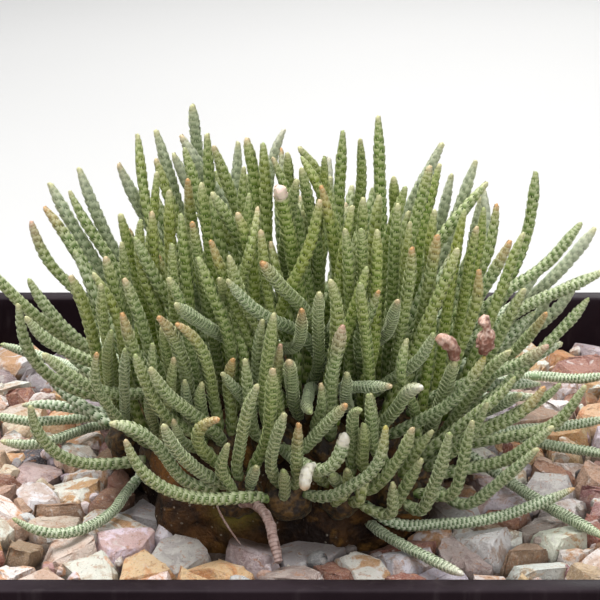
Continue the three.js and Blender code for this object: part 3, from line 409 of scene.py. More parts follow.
def spread(stems, crowns, balls, spacing, fixed=0):
    """Bends stems apart; the first ones, already in place, stay where they are."""
    last = STEM["points"] - 1
    base = np.array([s.points for s in stems])
    at = np.array([s.crown.at for s in stems])
    normal = np.array([s.crown.normal for s in stems])
    crown_of = np.array([crowns.index(s.crown) for s in stems])
    lean = unit(base[:, CROWN["lean_point"]] - at)
    lean -= (lean * normal).sum(-1, keepdims=True) * normal
    fade = (1 - np.arange(STEM["points"]) / last) ** CROWN["spread_fade"]
    offset = lean[:, None] * CROWN["spread"] * fade[None, :, None]
    offset[:fixed] = 0
    ball_at = np.array([b[0] for b in balls])
    ball_room = np.array([b[1] for b in balls]) + STEM["radius"] + PUSH["ball_room"]
    foreign = np.array([[b[2] is not s.crown and b[2] is not s for b in balls] for s in stems])
    for _ in range(PUSH["rounds"]):
        lines = base + offset
        push = np.zeros_like(lines)
        push_pairs(push, lines, crown_of, spacing, fixed)
        away = lines[:, :, None] - ball_at[None, None]
        distance = np.sqrt((away ** 2).sum(-1))
        inside = (distance < ball_room) & foreign[:, None]
        force = np.where(inside, PUSH["ball_share"] * (ball_room - distance) / np.maximum(distance, 1e-9), 0)
        push += (away * force[..., None]).sum(2)
        first = PUSH["first_lifted"]
        push[:, first:, 2] += np.maximum(0, STEM["lowest"] - lines[:, first:, 2])
        moved = clamp_length(smooth(push, 2), PUSH["longest"])
        moved[:fixed] = 0
        offset = smooth(offset + moved, 1)
        root = offset[:, 0] - (offset[:, 0] * normal).sum(-1, keepdims=True) * normal
        offset[:, 0] = clamp_length(root, CROWN["spread"])
        offset[:fixed] = 0
    for stem, line in zip(stems, base + offset):
        stem.points = line


def withered_line(crown):
    pixels = np.array(WITHERED_STEM, float).reshape(-1, 2)
    end = at_height(*pixels[0], STEM["lowest"])
    start = crown.at[1] + crown.normal[1] * CROWN["height"]
    steps = len(pixels) - 1
    return np.array([at_depth(*pixels[i], mix(end[1], start, i / steps)) for i in range(steps, -1, -1)])


def flower_axis(flower, stems):
    stem = next(s for s in stems if s.tip == flower["on"])
    end = stem.points[-1]
    top = at_depth(*flower["top"], end[1])
    return stem, end + unit(top - end) * GAP, top


random = seeded(SEED)
crowns = crown_list()
for flat in LYING_STEMS:
    add_lying_stem(crowns, flat)
for flat in FACING_STEMS:
    add_facing_stem(crowns, flat, False, "facing")
for flat in FAR_STEMS:
    add_facing_stem(crowns, flat, True, "far")
add_other_stems(crowns, random)
growing = [c for c in crowns if c.stems]
every_stem = [s for c in growing for s in c.stems]
balls = [(c.at, CROWN["radius"], c) for c in growing]
for flower in FLOWERS:
    stem, start, top = flower_axis(flower, every_stem)
    balls.append((start + (top - start) * FLOWER["middle"], flower["radius"] * FLOWER["room"], stem))
for at in withered_line(crowns[0]):
    balls.append((at, STEM["radius"], None))
spread(every_stem, crowns, balls, STEM["spacing"])

# Which of them the CAD holds: those end in a vertex of their tuft. The others are in the looks alone, and
# bend clear of them.
SAME_POINT = 0.1
MINOR_SPACING = 2.8
TUFT_NAMES = ["stem_tuft_%02d" % (i + 1) for i in range(len(growing))]


def node_points(name):
    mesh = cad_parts[name].data
    co = np.zeros(len(mesh.vertices) * 3, np.float32)
    mesh.vertices.foreach_get("co", co)
    return co.reshape(-1, 3) / MM


fixed_stems, loose_stems = [], []
for crown, name in zip(growing, TUFT_NAMES):
    ends = node_points(name)
    for stem in crown.stems:
        in_cad = np.linalg.norm(ends - stem.points[-1], axis=1).min() < SAME_POINT
        (fixed_stems if in_cad else loose_stems).append(stem)
for flat in MINOR_STEMS:
    loose_stems.append(add_facing_stem(growing, flat, False, "minor"))
for flat in MINOR_FAR_STEMS:
    loose_stems.append(add_facing_stem(growing, flat, True, "minor"))
all_stems = fixed_stems + loose_stems
spread(all_stems, growing, balls, MINOR_SPACING, len(fixed_stems))

# A stem and a bud drawn through pixels u, v at a depth y in millimetres, from the crown to the tip, and the
# part that is left of stems where the photo shows others in front of them
REDRAWN = {(345, 432): ((290, 455, -31), (303, 464, -38), (315, 472, -41), (328, 472, -42.5), (338, 461, -43),
                        (344, 446, -43), (345, 432, -42.7))}
BUD = ((314, 465, -41.5), (309, 467, -43), (306, 474, -44.2), (305, 483, -44.6), (304, 491, -44.6))
BUD_TIP = BUD[-1][:2]
SHORTENED = {(335, 440): 0.5, (322, 430): 0.5}
STEPS_TO_CUT = 100


def drawn(route, start=None):
    """A stem's points along a route of pixels and depths, which may begin at a point in space."""
    points = [at_depth(*place) for place in route]
    return smooth(resample(points if start is None else [start] + points, STEM["points"]), 2)


for stem in all_stems:
    if stem.tip in REDRAWN:
        stem.points = drawn(REDRAWN[stem.tip], stem.crown.at)
        bud = Stem(drawn(BUD), stem.crown, BUD_TIP, "bud")
    if stem.tip in SHORTENED:
        kept = int(SHORTENED[stem.tip] * STEPS_TO_CUT)
        stem.points = resample(resample(stem.points, STEPS_TO_CUT)[:kept], STEM["points"])
bud.crown.stems.append(bud)
all_stems.append(bud)

# MESHES


WELD_STEPS = 1e6


class Shape:
    """Vertices in millimetres, triangles, and values for each vertex, gathered piece by piece."""

    def __init__(self, **defaults):
        self.defaults = defaults
        self.points, self.faces, self.count = [], [], 0
        self.values = {name: [] for name in defaults}
        self.sharp = []

    def add(self, points, faces, sharp=None, **values):
        points = np.asarray(points, float).reshape(-1, 3)
        faces = np.asarray(faces, int).reshape(-1, 3)
        self.points.append(points)
        self.faces.append(faces + self.count)
        for name, default in self.defaults.items():
            value = np.asarray(values.get(name, default), float)
            width = np.ndim(default)
            shape = (len(points),) + ((len(default),) if width else ())
            if value.ndim == width + 1 and len(value) == len(points):
                self.values[name].append(value.reshape(shape))
            else:
                self.values[name].append(np.broadcast_to(value, shape))
        if sharp is not None:
            self.sharp.append(np.asarray(sharp, int) + self.count)
        self.count += len(points)

    def build(self, name, material, slot, replaced=(), flat=False, weld=False):
        points = np.vstack(self.points) * MM
        faces = np.vstack(self.faces)
        if weld:
            rounded = np.round(points * WELD_STEPS)
            _, first, where = np.unique(rounded, axis=0, return_index=True, return_inverse=True)
            points, faces = points[first], where.ravel()[faces]
        mesh = bpy.data.meshes.new(name)
        mesh.vertices.add(len(points))
        mesh.vertices.foreach_set("co", points.astype(np.float32).ravel())
        mesh.loops.add(faces.size)
        mesh.loops.foreach_set("vertex_index", faces.astype(np.int32).ravel())
        mesh.polygons.add(len(faces))
        mesh.polygons.foreach_set("loop_start", np.arange(0, faces.size, 3, dtype=np.int32))
        mesh.update(calc_edges=True)
        mesh.polygons.foreach_set("use_smooth", np.full(len(faces), not flat))
        if self.sharp:
            pairs = np.sort(np.vstack(self.sharp), axis=1)
            keys = np.unique(pairs[:, 0] * len(points) + pairs[:, 1])
            edges = np.zeros(len(mesh.edges) * 2, np.int32)
            mesh.edges.foreach_get("vertices", edges)
            edges = np.sort(edges.reshape(-1, 2).astype(np.int64), axis=1)
            flags = np.isin(edges[:, 0] * len(points) + edges[:, 1], keys)
            mesh.attributes.new("sharp_edge", "BOOLEAN", "EDGE").data.foreach_set("value", flags)
        for key, parts in self.values.items():
            value = np.concatenate(parts)
            if value.ndim == 2:
                colour = np.ones((len(points), 4), np.float32)
                colour[:, :3] = value
                mesh.attributes.new(key, "FLOAT_COLOR", "POINT").data.foreach_set("color", colour.ravel())
            else:
                numbers = mesh.attributes.new(key, "FLOAT", "POINT")
                numbers.data.foreach_set("value", value.astype(np.float32))
        mesh.materials.append(material)
        piece = bpy.data.objects.new(name, mesh)
        bpy.context.scene.collection.objects.link(piece)
        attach(piece, "root")
        if replaced:
            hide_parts(*replaced)
        return piece


def grid_faces(rows, columns, wrap=True):
    """Triangles between rows of points, the rows running along a tube from its first to its last."""
    r, c = np.meshgrid(np.arange(rows - 1), np.arange(columns if wrap else columns - 1), indexing="ij")
    a = (r * columns + c).ravel()
    b = (r * columns + (c + 1) % columns).ravel()
    return np.concatenate([np.stack([a, b, b + columns], 1), np.stack([a, b + columns, a + columns], 1)])


def fan_faces(centre, ring, outward):
    """Triangles between a ring of points and the one that closes it."""
    following = np.roll(ring, -1)
    middle = np.full(len(ring), centre)
    return np.stack([middle, ring, following] if outward else [middle, following, ring], 1)


def waves(points, size, seed, count=9):
    """Smooth lumps of about that size, between about -1 and 1."""
    rng = np.random.RandomState(seed)
    total = np.zeros(points.shape[:-1])
    for _ in range(count):
        direction = unit(rng.normal(size=3)) * (2 * math.pi / size) * rng.uniform(0.6, 1.5)
        total += np.sin(points @ direction + rng.uniform(0, 2 * math.pi))
    return total / math.sqrt(count * 1.2)


# Stems under their scales: a slim core, and scales in a spiral of five ranks, a pitch apart along each rank
DENSE = 6
CORE_SIDES = 8
CORE_ROWS = 13
CORE = 0.86
CONE = 3
# Distance from the tip and size of the rings that the core's blunt end has
CONE_RINGS = ((1.9, 1.0), (1.3, 1.02), (0.8, 1.0), (0.4, 0.84), (0.14, 0.52))
RANKS = 5
LEAF_TURN = 144.0
STEM_RADIUS = {"facing": 1.06, "minor": 0.97, "far": 1.08, "lying": 0.94, "other": 1.05}
PITCH = {"facing": 1.62, "minor": 1.5, "far": 1.7, "lying": 1.15, "other": 1.85}
# Scales near the root, which other stems hide, are longer and fewer: from and to these lengths, by this share
HIDDEN_PART = (4, 14)
HIDDEN_STRETCH = 0.45
SCALE_STEPS = 400
# The radius beyond which a scale's vertices follow how far it stands off
SHUT = 0.97
VARY = (0.92, 1.08)
# Each vertex of a scale: its angle in degrees, place along the stem in pitches, radius as a part of the
# stem's, and edge, which runs from 0 at the scale's root to 1 at its free end
SCALE_POINTS = np.array([
    (-36, 0.0, 0.84, 0.0), (36, 0.0, 0.84, 0.0),
    (-66, 0.78, 0.93, 0.78), (-22, 0.68, 1.045, 0.46), (22, 0.68, 1.045, 0.46), (66, 0.78, 0.93, 0.78),
    (-66, 1.34, 0.94, 1.0), (-23, 1.20, 1.10, 1.0), (23, 1.20, 1.10, 1.0), (66, 1.34, 0.94, 1.0),
    (-28, 1.06, 0.89, 0.5), (28, 1.06, 0.89, 0.5)])
SCALE_FACES = np.array([
    (0, 3, 2), (0, 4, 3), (0, 1, 4), (1, 5, 4),
    (2, 3, 7), (2, 7, 6), (3, 4, 8), (3, 8, 7), (4, 5, 9), (4, 9, 8),
    (6, 7, 10), (7, 11, 10), (7, 8, 11), (8, 9, 11),
    (0, 2, 10), (2, 6, 10), (1, 11, 5), (5, 11, 9), (0, 10, 11), (0, 11, 1)])
SCALE_SHARP = np.array([(6, 7), (7, 8), (8, 9), (2, 6), (5, 9), (0, 2), (1, 5)])


def dense_lines(points):
    """Catmull-Rom curves through the points of each stem."""
    p = np.concatenate([2 * points[:, :1] - points[:, 1:2], points, 2 * points[:, -1:] - points[:, -2:-1]], 1)
    out = []
    for i in range(points.shape[1] - 1):
        a, b, c, d = p[:, i], p[:, i + 1], p[:, i + 2], p[:, i + 3]
        for step in range(DENSE):
            t = step / DENSE
            out.append(0.5 * (2 * b + (c - a) * t + (2 * a - 5 * b + 4 * c - d) * t ** 2
                              + (3 * b - a - 3 * c + d) * t ** 3))
    out.append(points[:, -1])
    return np.stack(out, 1)


def frames_along(lines):
    """Two directions across each line at each point, which don't twist round it."""
    tangent = unit(np.gradient(lines, axis=1))
    side = np.zeros_like(lines)
    side[:, 0] = unit(np.cross(tangent[:, 0], np.array([0.31, 0.17, 0.94])))
    for k in range(1, lines.shape[1]):
        before = side[:, k - 1]
        side[:, k] = unit(before - (before * tangent[:, k]).sum(-1, keepdims=True) * tangent[:, k])
    return tangent, side, np.cross(tangent, side)


def smoothstep(value, low, high):
    t = np.clip((value - low) / (high - low), 0, 1)
    return t * t * (3 - 2 * t)


# Colours of the tips, the tips that the photo shows in them, and the chances of the others
ORANGE = (0.62, 0.30, 0.11)
PEACH = (0.64, 0.48, 0.29)
CREAM = (0.58, 0.56, 0.30)
YELLOW = (0.50, 0.42, 0.08)
PINK = (0.56, 0.30, 0.24)
WHITE = (0.80, 0.76, 0.68)
PALE_GREEN = (0.36, 0.42, 0.17)
PINK_WHITE = (0.80, 0.62, 0.56)
TIP_COLOURS = {
    ORANGE: ((184, 180), (209, 241), (321, 185), (511, 240), (441, 236), (122, 313), (310, 305), (160, 316),
             (174, 322), (231, 362), (479, 269), (547, 312), (545, 386), (292, 424), (220, 419), (42, 208)),
    PINK: ((280, 344), (343, 325), (549, 345), (34, 218)),
    # the white tips at (329, 156) and (285, 128), on stems at the back, are painted backlight
    WHITE: ((345, 432), (423, 387), (464, 575), (329, 156), (285, 128), (304, 491)),
    PINK_WHITE: ((283, 184),),
    PALE_GREEN: ((311, 413), (335, 440), (322, 430)),
    YELLOW: ((386, 425), (75, 187), (485, 356)),
}
KNOWN_TIPS = {tip: colour for colour, tips in TIP_COLOURS.items() for tip in tips}
CHANCE_TIPS = ((PALE_GREEN, 0.24), (CREAM, 0.74), (PEACH, 0.94), (ORANGE, 1.0))
BUD_END = np.array((0.76, 0.50, 0.28))
# Stems at the back, made paler as painted backlight
BACKLIT_TIPS = {tuple(flat[:2]) for flat in MINOR_FAR_STEMS}


def tip_colour(stem, rng):
    draw = rng.uniform()
    if stem.tip in KNOWN_TIPS:
        return KNOWN_TIPS[stem.tip]
    return next(colour for colour, share in CHANCE_TIPS if draw <= share)


# Radius, tapering length and bluntness of the stems with a swollen tip
SWOLLEN = {(283, 184): (1.28, 1.6, 0.35), (345, 432): (1.12, 1.6, 0.4), BUD_TIP: (1.14, 1.8, 0.5)}


def add_stem_shape(shape, stem, line, arc, side, across, rng):
    """A stem along a line with arc lengths and two directions across it, and its scales."""
    length = arc[-1]
    radius = STEM_RADIUS.get(stem.kind, 1) * rng.uniform(0.92, 1.07)
    ripple = rng.uniform(0, 6.3)
    colour = np.array(tip_colour(stem, rng))
    flat = np.linalg.norm((line[-1] - line[0])[:2]) / length
    # flat stems get more silver: a bluer green and paler paper and margins, partly their own paper, partly a
    # painted sheen of the light from above
    silver = clamp(0.05 + 0.85 * flat ** 1.5 + rng.uniform(-0.15, 0.15), 0, 1)
    pale = 0.0
    if stem.kind == "other":
        silver = clamp(silver + 0.2, 0, 1)
    if stem.kind == "lying":
        silver = 0.95
    # painted backlight: the stems at the back get silver paper and a pale wash that grows towards the tip
    if stem.tip and (stem.kind == "far" or stem.tip in BACKLIT_TIPS):
        silver, pale = 0.6, rng.uniform(0.25, 0.6)
    tone = rng.uniform(0, 1)
    taper = min(rng.uniform(4.0, 10.0), 0.35 * length)
    blunt = rng.uniform(0.52, 0.62)
    known = stem.tip in KNOWN_TIPS
    if stem.tip in SWOLLEN:
        radius, taper, blunt = SWOLLEN[stem.tip]
    is_bud = stem.kind == "bud"

    def at(values, s):
        return np.stack([np.interp(s, arc, values[:, i]) for i in range(3)], -1)

    def size(s):
        near_tip = np.clip((length - s) / taper, 0, 1)
        swell = 0.55 + 0.45 * smoothstep(s, 0, 3) if is_bud else 0.9 + 0.1 * smoothstep(s, 0, 8)
        return swell * (1 - blunt * (1 - near_tip) ** 1.7) * (1 + 0.025 * np.sin(0.8 * s + ripple))

    def place(s, angle, r):
        return at(line, s) + r[..., None] * (np.cos(angle)[..., None] * at(side, s)
                                             + np.sin(angle)[..., None] * at(across, s))

    def values(s):
        left = length - s
        if is_bud:
            end = (1 - smoothstep(left, 0.4, 1.8))[:, None]
            return dict(from_tip=left, tone=tone, silver=1.0, tip_colour=colour + (BUD_END - colour) * end,
                        tint=1 + 0 * left, pale=0.0)
        close = 0.85 * (1 - smoothstep(left, 0.4, 2.6 if known else 2.1))
        wide = (0.5 if known else 0.2) * (1 - smoothstep(left, 1.0, 8.0 if known else 5.5))
        if stem.tip in SWOLLEN:
            close, wide = 1 - smoothstep(left, 2.0, 2.7), 0
        return dict(from_tip=left, tone=tone, silver=silver, tip_colour=colour, tint=np.maximum(close, wide),
                    pale=pale * (0.6 + 0.4 * (1 - smoothstep(left, 2, 12))))

    # the core
    from_end, cone_size = np.array(CONE_RINGS).T
    shrink = np.concatenate([np.ones(CORE_ROWS), cone_size])
    s = np.concatenate([np.linspace(0, length - CONE, CORE_ROWS), length - from_end])
    angle = np.linspace(0, 2 * math.pi, CORE_SIDES, endpoint=False)
    rings, turns = np.meshgrid(s, angle, indexing="ij")
    r = radius * CORE * size(rings) * shrink[:, None]
    points = np.vstack([place(rings, turns, r).reshape(-1, 3), line[-1][None]])
    tip = len(points) - 1
    faces = np.vstack([grid_faces(len(s), CORE_SIDES),
                       fan_faces(tip, np.arange(tip - CORE_SIDES, tip), True)])
    shape.add(points, faces, edge=0.45, **values(np.append(rings.ravel(), length)))

    # the scales
    start = 0.3 if is_bud else 1.2
    pitch = PITCH.get(stem.kind, 1.0) * (1 - 0.28 * smoothstep(flat, 0.5, 0.9)) * rng.uniform(*VARY)
    fine_s = np.linspace(start, max(length - 0.9, start + 0.1), SCALE_STEPS)
    loose = 1 + HIDDEN_STRETCH * (1 - smoothstep(fine_s, *HIDDEN_PART))
    number = np.cumsum(np.gradient(fine_s) * RANKS / (pitch * loose))
    count = int(number[-1])
    if count < 1:
        return
    s0 = np.interp(np.arange(count), number, fine_s)
    twist = rng.choice([-1, 1]) * rng.uniform(0.6, 1.6)
    theta = np.radians(np.arange(count) * (LEAF_TURN + twist) + rng.uniform(0, 360))
    room = length - 0.05 - s0
    along = pitch * (0.55 + 0.45 * smoothstep(length - s0, 0.5, 6)) * rng.uniform(*VARY, count)
    along = along * np.interp(s0, fine_s, loose)
    along = np.minimum(along, room / SCALE_POINTS[:, 1].max())
    lift = (0.4 + 0.6 * smoothstep(length - s0, 1.0, 5)) * rng.uniform(0.75, 1.25, count)
    lift = lift * (0.3 if is_bud else 1 + 0.7 * silver)
    s = s0[:, None] + SCALE_POINTS[None, :, 1] * along[:, None]
    jag = rng.normal(0, 0.035, (count, len(SCALE_POINTS))) * (SCALE_POINTS[None, :, 3] == 1.0)
    s = np.minimum(s + jag * along[:, None], length - 0.02)
    turn = theta[:, None] + np.radians(SCALE_POINTS[None, :, 0]) + rng.normal(0, 0.04, (count, 1))
    out = SCALE_POINTS[None, :, 2]
    out = np.where(out > SHUT, SHUT + (out - SHUT) * lift[:, None], out)
    points = place(s, turn, radius * size(s) * out)
    first = np.arange(count)[:, None, None] * len(SCALE_POINTS)
    shape.add(points.reshape(-1, 3), (SCALE_FACES[None] + first).reshape(-1, 3),
              sharp=(SCALE_SHARP[None] + first).reshape(-1, 2),
              edge=np.tile(SCALE_POINTS[:, 3], count), **values(s.ravel()))


# Radius and height of each ring of a mound, and the height of its top
MOUND = ((4.3, -1.6), (4.45, -0.4), (4.3, 0.8), (3.7, 1.8), (2.6, 2.45), (1.3, 2.75))
MOUND_TOP = 2.85
MOUND_SIDES = 24
FAR_FROM_TIP = 60.0


def add_mound(shape, crown, seed):
    """The low woody knob that a tuft grows from."""
    angle = np.linspace(0, 2 * math.pi, MOUND_SIDES, endpoint=False)
    x_axis = unit(np.cross(crown.normal, np.array([0.3, 0.5, 0.8])))
    y_axis = np.cross(crown.normal, x_axis)
    rings = []
    for r, z in MOUND:
        across = np.cos(angle)[:, None] * x_axis + np.sin(angle)[:, None] * y_axis
        rings.append(crown.at + r * across + z * crown.normal)
    points = np.vstack(rings + [crown.at + MOUND_TOP * crown.normal])
    outward = unit(points - (crown.at - 1.5 * crown.normal))
    lumps = 0.4 * waves(points, 3.1, seed) + 0.25 * waves(points, 1.5, seed + 100)
    points = points + outward * (lumps - 0.15)[:, None]
    top = len(points) - 1
    faces = np.vstack([grid_faces(len(MOUND), MOUND_SIDES),
                       fan_faces(top, np.arange(top - MOUND_SIDES, top), True)])
    shape.add(points, faces, wood=1.0, edge=0.3, from_tip=FAR_FROM_TIP)


lines = dense_lines(np.array([s.points for s in all_stems]))
arcs = np.concatenate([np.zeros((len(lines), 1)),
                       np.cumsum(np.linalg.norm(np.diff(lines, axis=1), axis=2), axis=1)], 1)
_, sides, acrosses = frames_along(lines)
index_of = {id(stem): i for i, stem in enumerate(all_stems)}

# MATERIALS


class Graph:
    """A material's nodes. A value given for an input is a number or another node's output."""

    def __init__(self, name, **shader):
        self.material = bpy.data.materials.new(name)
        self.material.use_nodes = True
        self.tree = self.material.node_tree
        self.tree.nodes.clear()
        self.shader = self.node("ShaderNodeBsdfPrincipled")
        output = self.node("ShaderNodeOutputMaterial")
        self.tree.links.new(self.shader.outputs[0], output.inputs[0])
        self.set(self.shader, shader)

    def set(self, node, inputs):
        for key, value in inputs.items():
            name = key if isinstance(key, int) else key.replace("_", " ")
            socket = node.inputs[name]
            if isinstance(value, bpy.types.NodeSocket):
                self.tree.links.new(value, socket)
            elif isinstance(value, tuple) and len(value) == 3 and socket.type == "RGBA":
                socket.default_value = value + (1,)
            else:
                socket.default_value = value

    def node(self, kind, inputs=None, **settings):
        node = self.tree.nodes.new(kind)
        for key, value in settings.items():
            setattr(node, key, value)
        self.set(node, inputs or {})
        return node

    def attribute(self, name, colour=False):
        node = self.node("ShaderNodeAttribute", attribute_name=name)
        return node.outputs["Color" if colour else "Fac"]

    def place(self):
        return self.node("ShaderNodeTexCoord").outputs["Object"]

    def noise(self, per_metre, detail=3.0, roughness=0.55, at=None, distortion=0.0):
        inputs = {"Vector": at or self.place(), "Scale": per_metre, "Detail": detail, "Roughness": roughness,
                  "Distortion": distortion}
        return self.node("ShaderNodeTexNoise", inputs).outputs["Fac"]

    def cells(self, per_metre, output="Distance"):
        return self.node("ShaderNodeTexVoronoi", {"Vector": self.place(), "Scale": per_metre}).outputs[output]

    def range(self, value, low, high, to_low=0.0, to_high=1.0):
        inputs = {"Value": value, "From_Min": low, "From_Max": high, "To_Min": to_low, "To_Max": to_high}
        return self.node("ShaderNodeMapRange", inputs, interpolation_type="SMOOTHSTEP").outputs[0]

    def math(self, operation, a, b=0.0, clamped=False):
        return self.node("ShaderNodeMath", {0: a, 1: b}, operation=operation, use_clamp=clamped).outputs[0]

    def blend(self, share, a, b):
        return self.node("ShaderNodeMix", {0: share, 6: a, 7: b}, data_type="RGBA").outputs[2]

    def height(self, vector):
        return self.node("ShaderNodeSeparateXYZ", {0: vector}).outputs[2]

    def bump(self, height, distance, strength):
        node = self.node("ShaderNodeBump", {"Height": height, "Distance": distance, "Strength": strength})
        self.set(self.shader, {"Normal": node.outputs[0]})

    def upward(self):
        return self.height(self.node("ShaderNodeNewGeometry").outputs["Normal"])


def stem_material():
    """Green under pale papery scales, pale at each scale's free end, with painted shade at each scale's root,
    a deeper green away from the tip that is partly painted shade, a painted highlight on what faces up, a
    painted sheen on flat stems and painted backlight on the stems at the back.
    """
    sheen = dict(Sheen_Weight=0.1, Sheen_Roughness=0.4, Sheen_Tint=(0.86, 0.92, 0.70))
    g = Graph("stem_scales", Roughness=0.6, **sheen)
    edge, from_tip, tint = g.attribute("edge"), g.attribute("from_tip"), g.attribute("tint")
    tone, silver, wood = g.attribute("tone"), g.attribute("silver"), g.attribute("wood")
    tip = g.attribute("tip_colour", True)
    fine = g.noise(2600, 3)
    broad = g.noise(260, 2)
    green = g.blend(tone, (0.150, 0.245, 0.012), (0.270, 0.300, 0.020))
    green = g.blend(g.range(broad, 0.35, 0.7, 0.0, 0.6), green, (0.115, 0.225, 0.030))
    # farther from the tip the green deepens: partly older tissue, partly painted shade deep in the tuft
    green = g.blend(g.range(from_tip, 8.0, 30.0, 0.0, 0.6), green, (0.125, 0.225, 0.008))
    # silver: partly the stems' own bluer paper, partly painted sheen
    green = g.blend(g.math("MULTIPLY", silver, 0.85), green, (0.060, 0.155, 0.052))
    paper = g.blend(fine, (0.51, 0.52, 0.20), (0.75, 0.75, 0.40))
    paper = g.blend(silver, paper, (0.68, 0.76, 0.54))
    # painted highlight: what faces up gets more pale paper, standing in for the light from above
    top_highlight = g.math("MULTIPLY", g.range(g.upward(), 0.0, 0.9), 0.34)
    paper_and_top_highlight = g.math("ADD", g.math("MULTIPLY", silver, 0.26), g.math("ADD", top_highlight, 0.07))
    paper_and_top_highlight = g.math("MULTIPLY", g.range(fine, 0.15, 0.7, 0.4, 1.0), paper_and_top_highlight)
    colour = g.blend(g.math("MULTIPLY", paper_and_top_highlight, g.range(edge, 0.2, 0.6), True), green, paper)
    # painted shade: each scale's root, tucked under the free ends of its neighbours, goes near-black green
    colour = g.blend(g.range(edge, 0.16, 0.46, 0.92, 0.0), colour, (0.018, 0.042, 0.001))
    margin = g.blend(silver, (0.60, 0.62, 0.28), (0.84, 0.88, 0.70))
    colour = g.blend(g.range(edge, 0.48, 0.92, 0.0, 0.66), colour, margin)
    # painted backlight: a pale wash on the stems at the back
    colour = g.blend(g.attribute("pale"), colour, (0.66, 0.68, 0.58))
    tinted = g.blend(g.range(edge, 0.4, 0.95, 0.1, 0.5), tip, (0.72, 0.66, 0.46))
    rough_edge = g.math("MULTIPLY", g.math("SUBTRACT", fine, 0.5), g.range(tint, 0.02, 0.3, 0.0, 0.5))
    colour = g.blend(g.math("ADD", tint, rough_edge, True), colour, tinted)
    lumps = g.noise(900, 4)
    bark = g.blend(g.range(lumps, 0.38, 0.66), (0.014, 0.006, 0.002), (0.120, 0.062, 0.014))
    colour = g.blend(wood, colour, bark)
    g.set(g.shader, {"Base_Color": colour})
    g.bump(g.math("ADD", fine, g.math("MULTIPLY", g.math("MULTIPLY", wood, lumps), 7.0)), 0.00012, 0.7)
    return g.material


# Heights in metres between which the painted shade in the gaps between stones fades from dark
SHADED_GAPS = (0.0575, 0.0612)


def stone_material():
    """Two colours of a stone in patches, with veins, grains and specks, a dark brown beside the caudex that
    is partly painted shade, and painted shade low in the gaps.
    """
    g = Graph("crushed_stone", Roughness=0.7)
    tint, second = g.attribute("tint", True), g.attribute("second", True)
    patchy = g.attribute("patchy")
    patch = g.math("ADD", g.noise(240, 5, 0.62, distortion=0.8), g.math("MULTIPLY", patchy, 0.12))
    colour = g.blend(g.range(patch, 0.47, 0.60, 0.0, 0.95), tint, second)
    vein = g.noise(430, 4, 0.6, distortion=1.8)
    colour = g.blend(g.range(vein, 0.57, 0.68, 0.0, 0.7), colour, (0.46, 0.20, 0.08))
    pale = g.noise(330, 3, 0.5, distortion=1.2)
    colour = g.blend(g.range(pale, 0.60, 0.72, 0.0, 0.6), colour, (0.80, 0.75, 0.72))
    grain = g.noise(3000, 3, 0.7)
    colour = g.blend(g.range(grain, 0.45, 0.75, 0.0, 0.4), colour, (0.82, 0.76, 0.72))
    colour = g.blend(g.range(grain, 0.2, 0.42, 0.45, 0.0), colour, (0.15, 0.09, 0.075))
    specks = g.range(g.cells(1300), 0.10, 0.22, 0.4, 0.0)
    colour = g.blend(specks, colour, (0.11, 0.06, 0.05))
    # beside the caudex: partly the stones' own brown, partly painted shade
    colour = g.blend(g.attribute("stain"), colour, (0.085, 0.040, 0.016))
    # painted shade low in the gaps between stones
    colour = g.blend(g.range(g.height(g.place()), *SHADED_GAPS, 0.9, 0.0), colour, (0.040, 0.020, 0.010))
    g.set(g.shader, {"Base_Color": colour, "Roughness": g.range(grain, 0.3, 0.7, 0.5, 0.85)})
    g.bump(g.math("ADD", g.noise(900, 6, 0.7), g.math("MULTIPLY", grain, 0.35)), 0.0010, 0.9)
    return g.material


def bark_material():
    """Brown bark in patches, with painted highlights on its lit side and knobs, painted shade in its creases
    and dents, and pale flakes.
    """
    g = Graph("caudex_bark", Roughness=0.62, Specular_IOR_Level=0.3)
    lumps = g.noise(170, 5, 0.6)
    fine = g.noise(1300, 4, 0.65)
    colour = g.blend(g.range(lumps, 0.38, 0.62), (0.012, 0.004, 0.0015), (0.085, 0.036, 0.009))
    patches = g.noise(240, 4, distortion=0.4)
    colour = g.blend(g.range(patches, 0.54, 0.70, 0.0, 0.75), colour, (0.24, 0.115, 0.022))
    colour = g.blend(g.range(g.noise(120, 3), 0.58, 0.72, 0.0, 0.7), colour, (0.200, 0.085, 0.025))
    # painted highlights: orange-brown on the caudex's lit side, yellow-olive on its lit knobs
    for name, least, stain in (("rust", 0.4, (0.30, 0.125, 0.030)), ("moss", 0.5, (0.15, 0.125, 0.020))):
        share = g.math("MULTIPLY", g.attribute(name), g.range(fine, 0.3, 0.6, least, 1.0))
        colour = g.blend(share, colour, stain)
    # painted shade in the creases and dents
    colour = g.blend(g.attribute("crease"), colour, (0.010, 0.004, 0.002))
    flakes = g.range(g.cells(620), 0.12, 0.2, 0.6, 0.0)
    colour = g.blend(g.math("MULTIPLY", flakes, g.range(fine, 0.45, 0.6)), colour, (0.50, 0.44, 0.36))
    g.set(g.shader, {"Base_Color": colour, "Roughness": g.range(fine, 0.3, 0.7, 0.45, 0.8)})
    g.bump(g.math("ADD", g.math("MULTIPLY", lumps, 1.5), g.math("MULTIPLY", fine, 0.5)), 0.0014, 1.0)
    return g.material


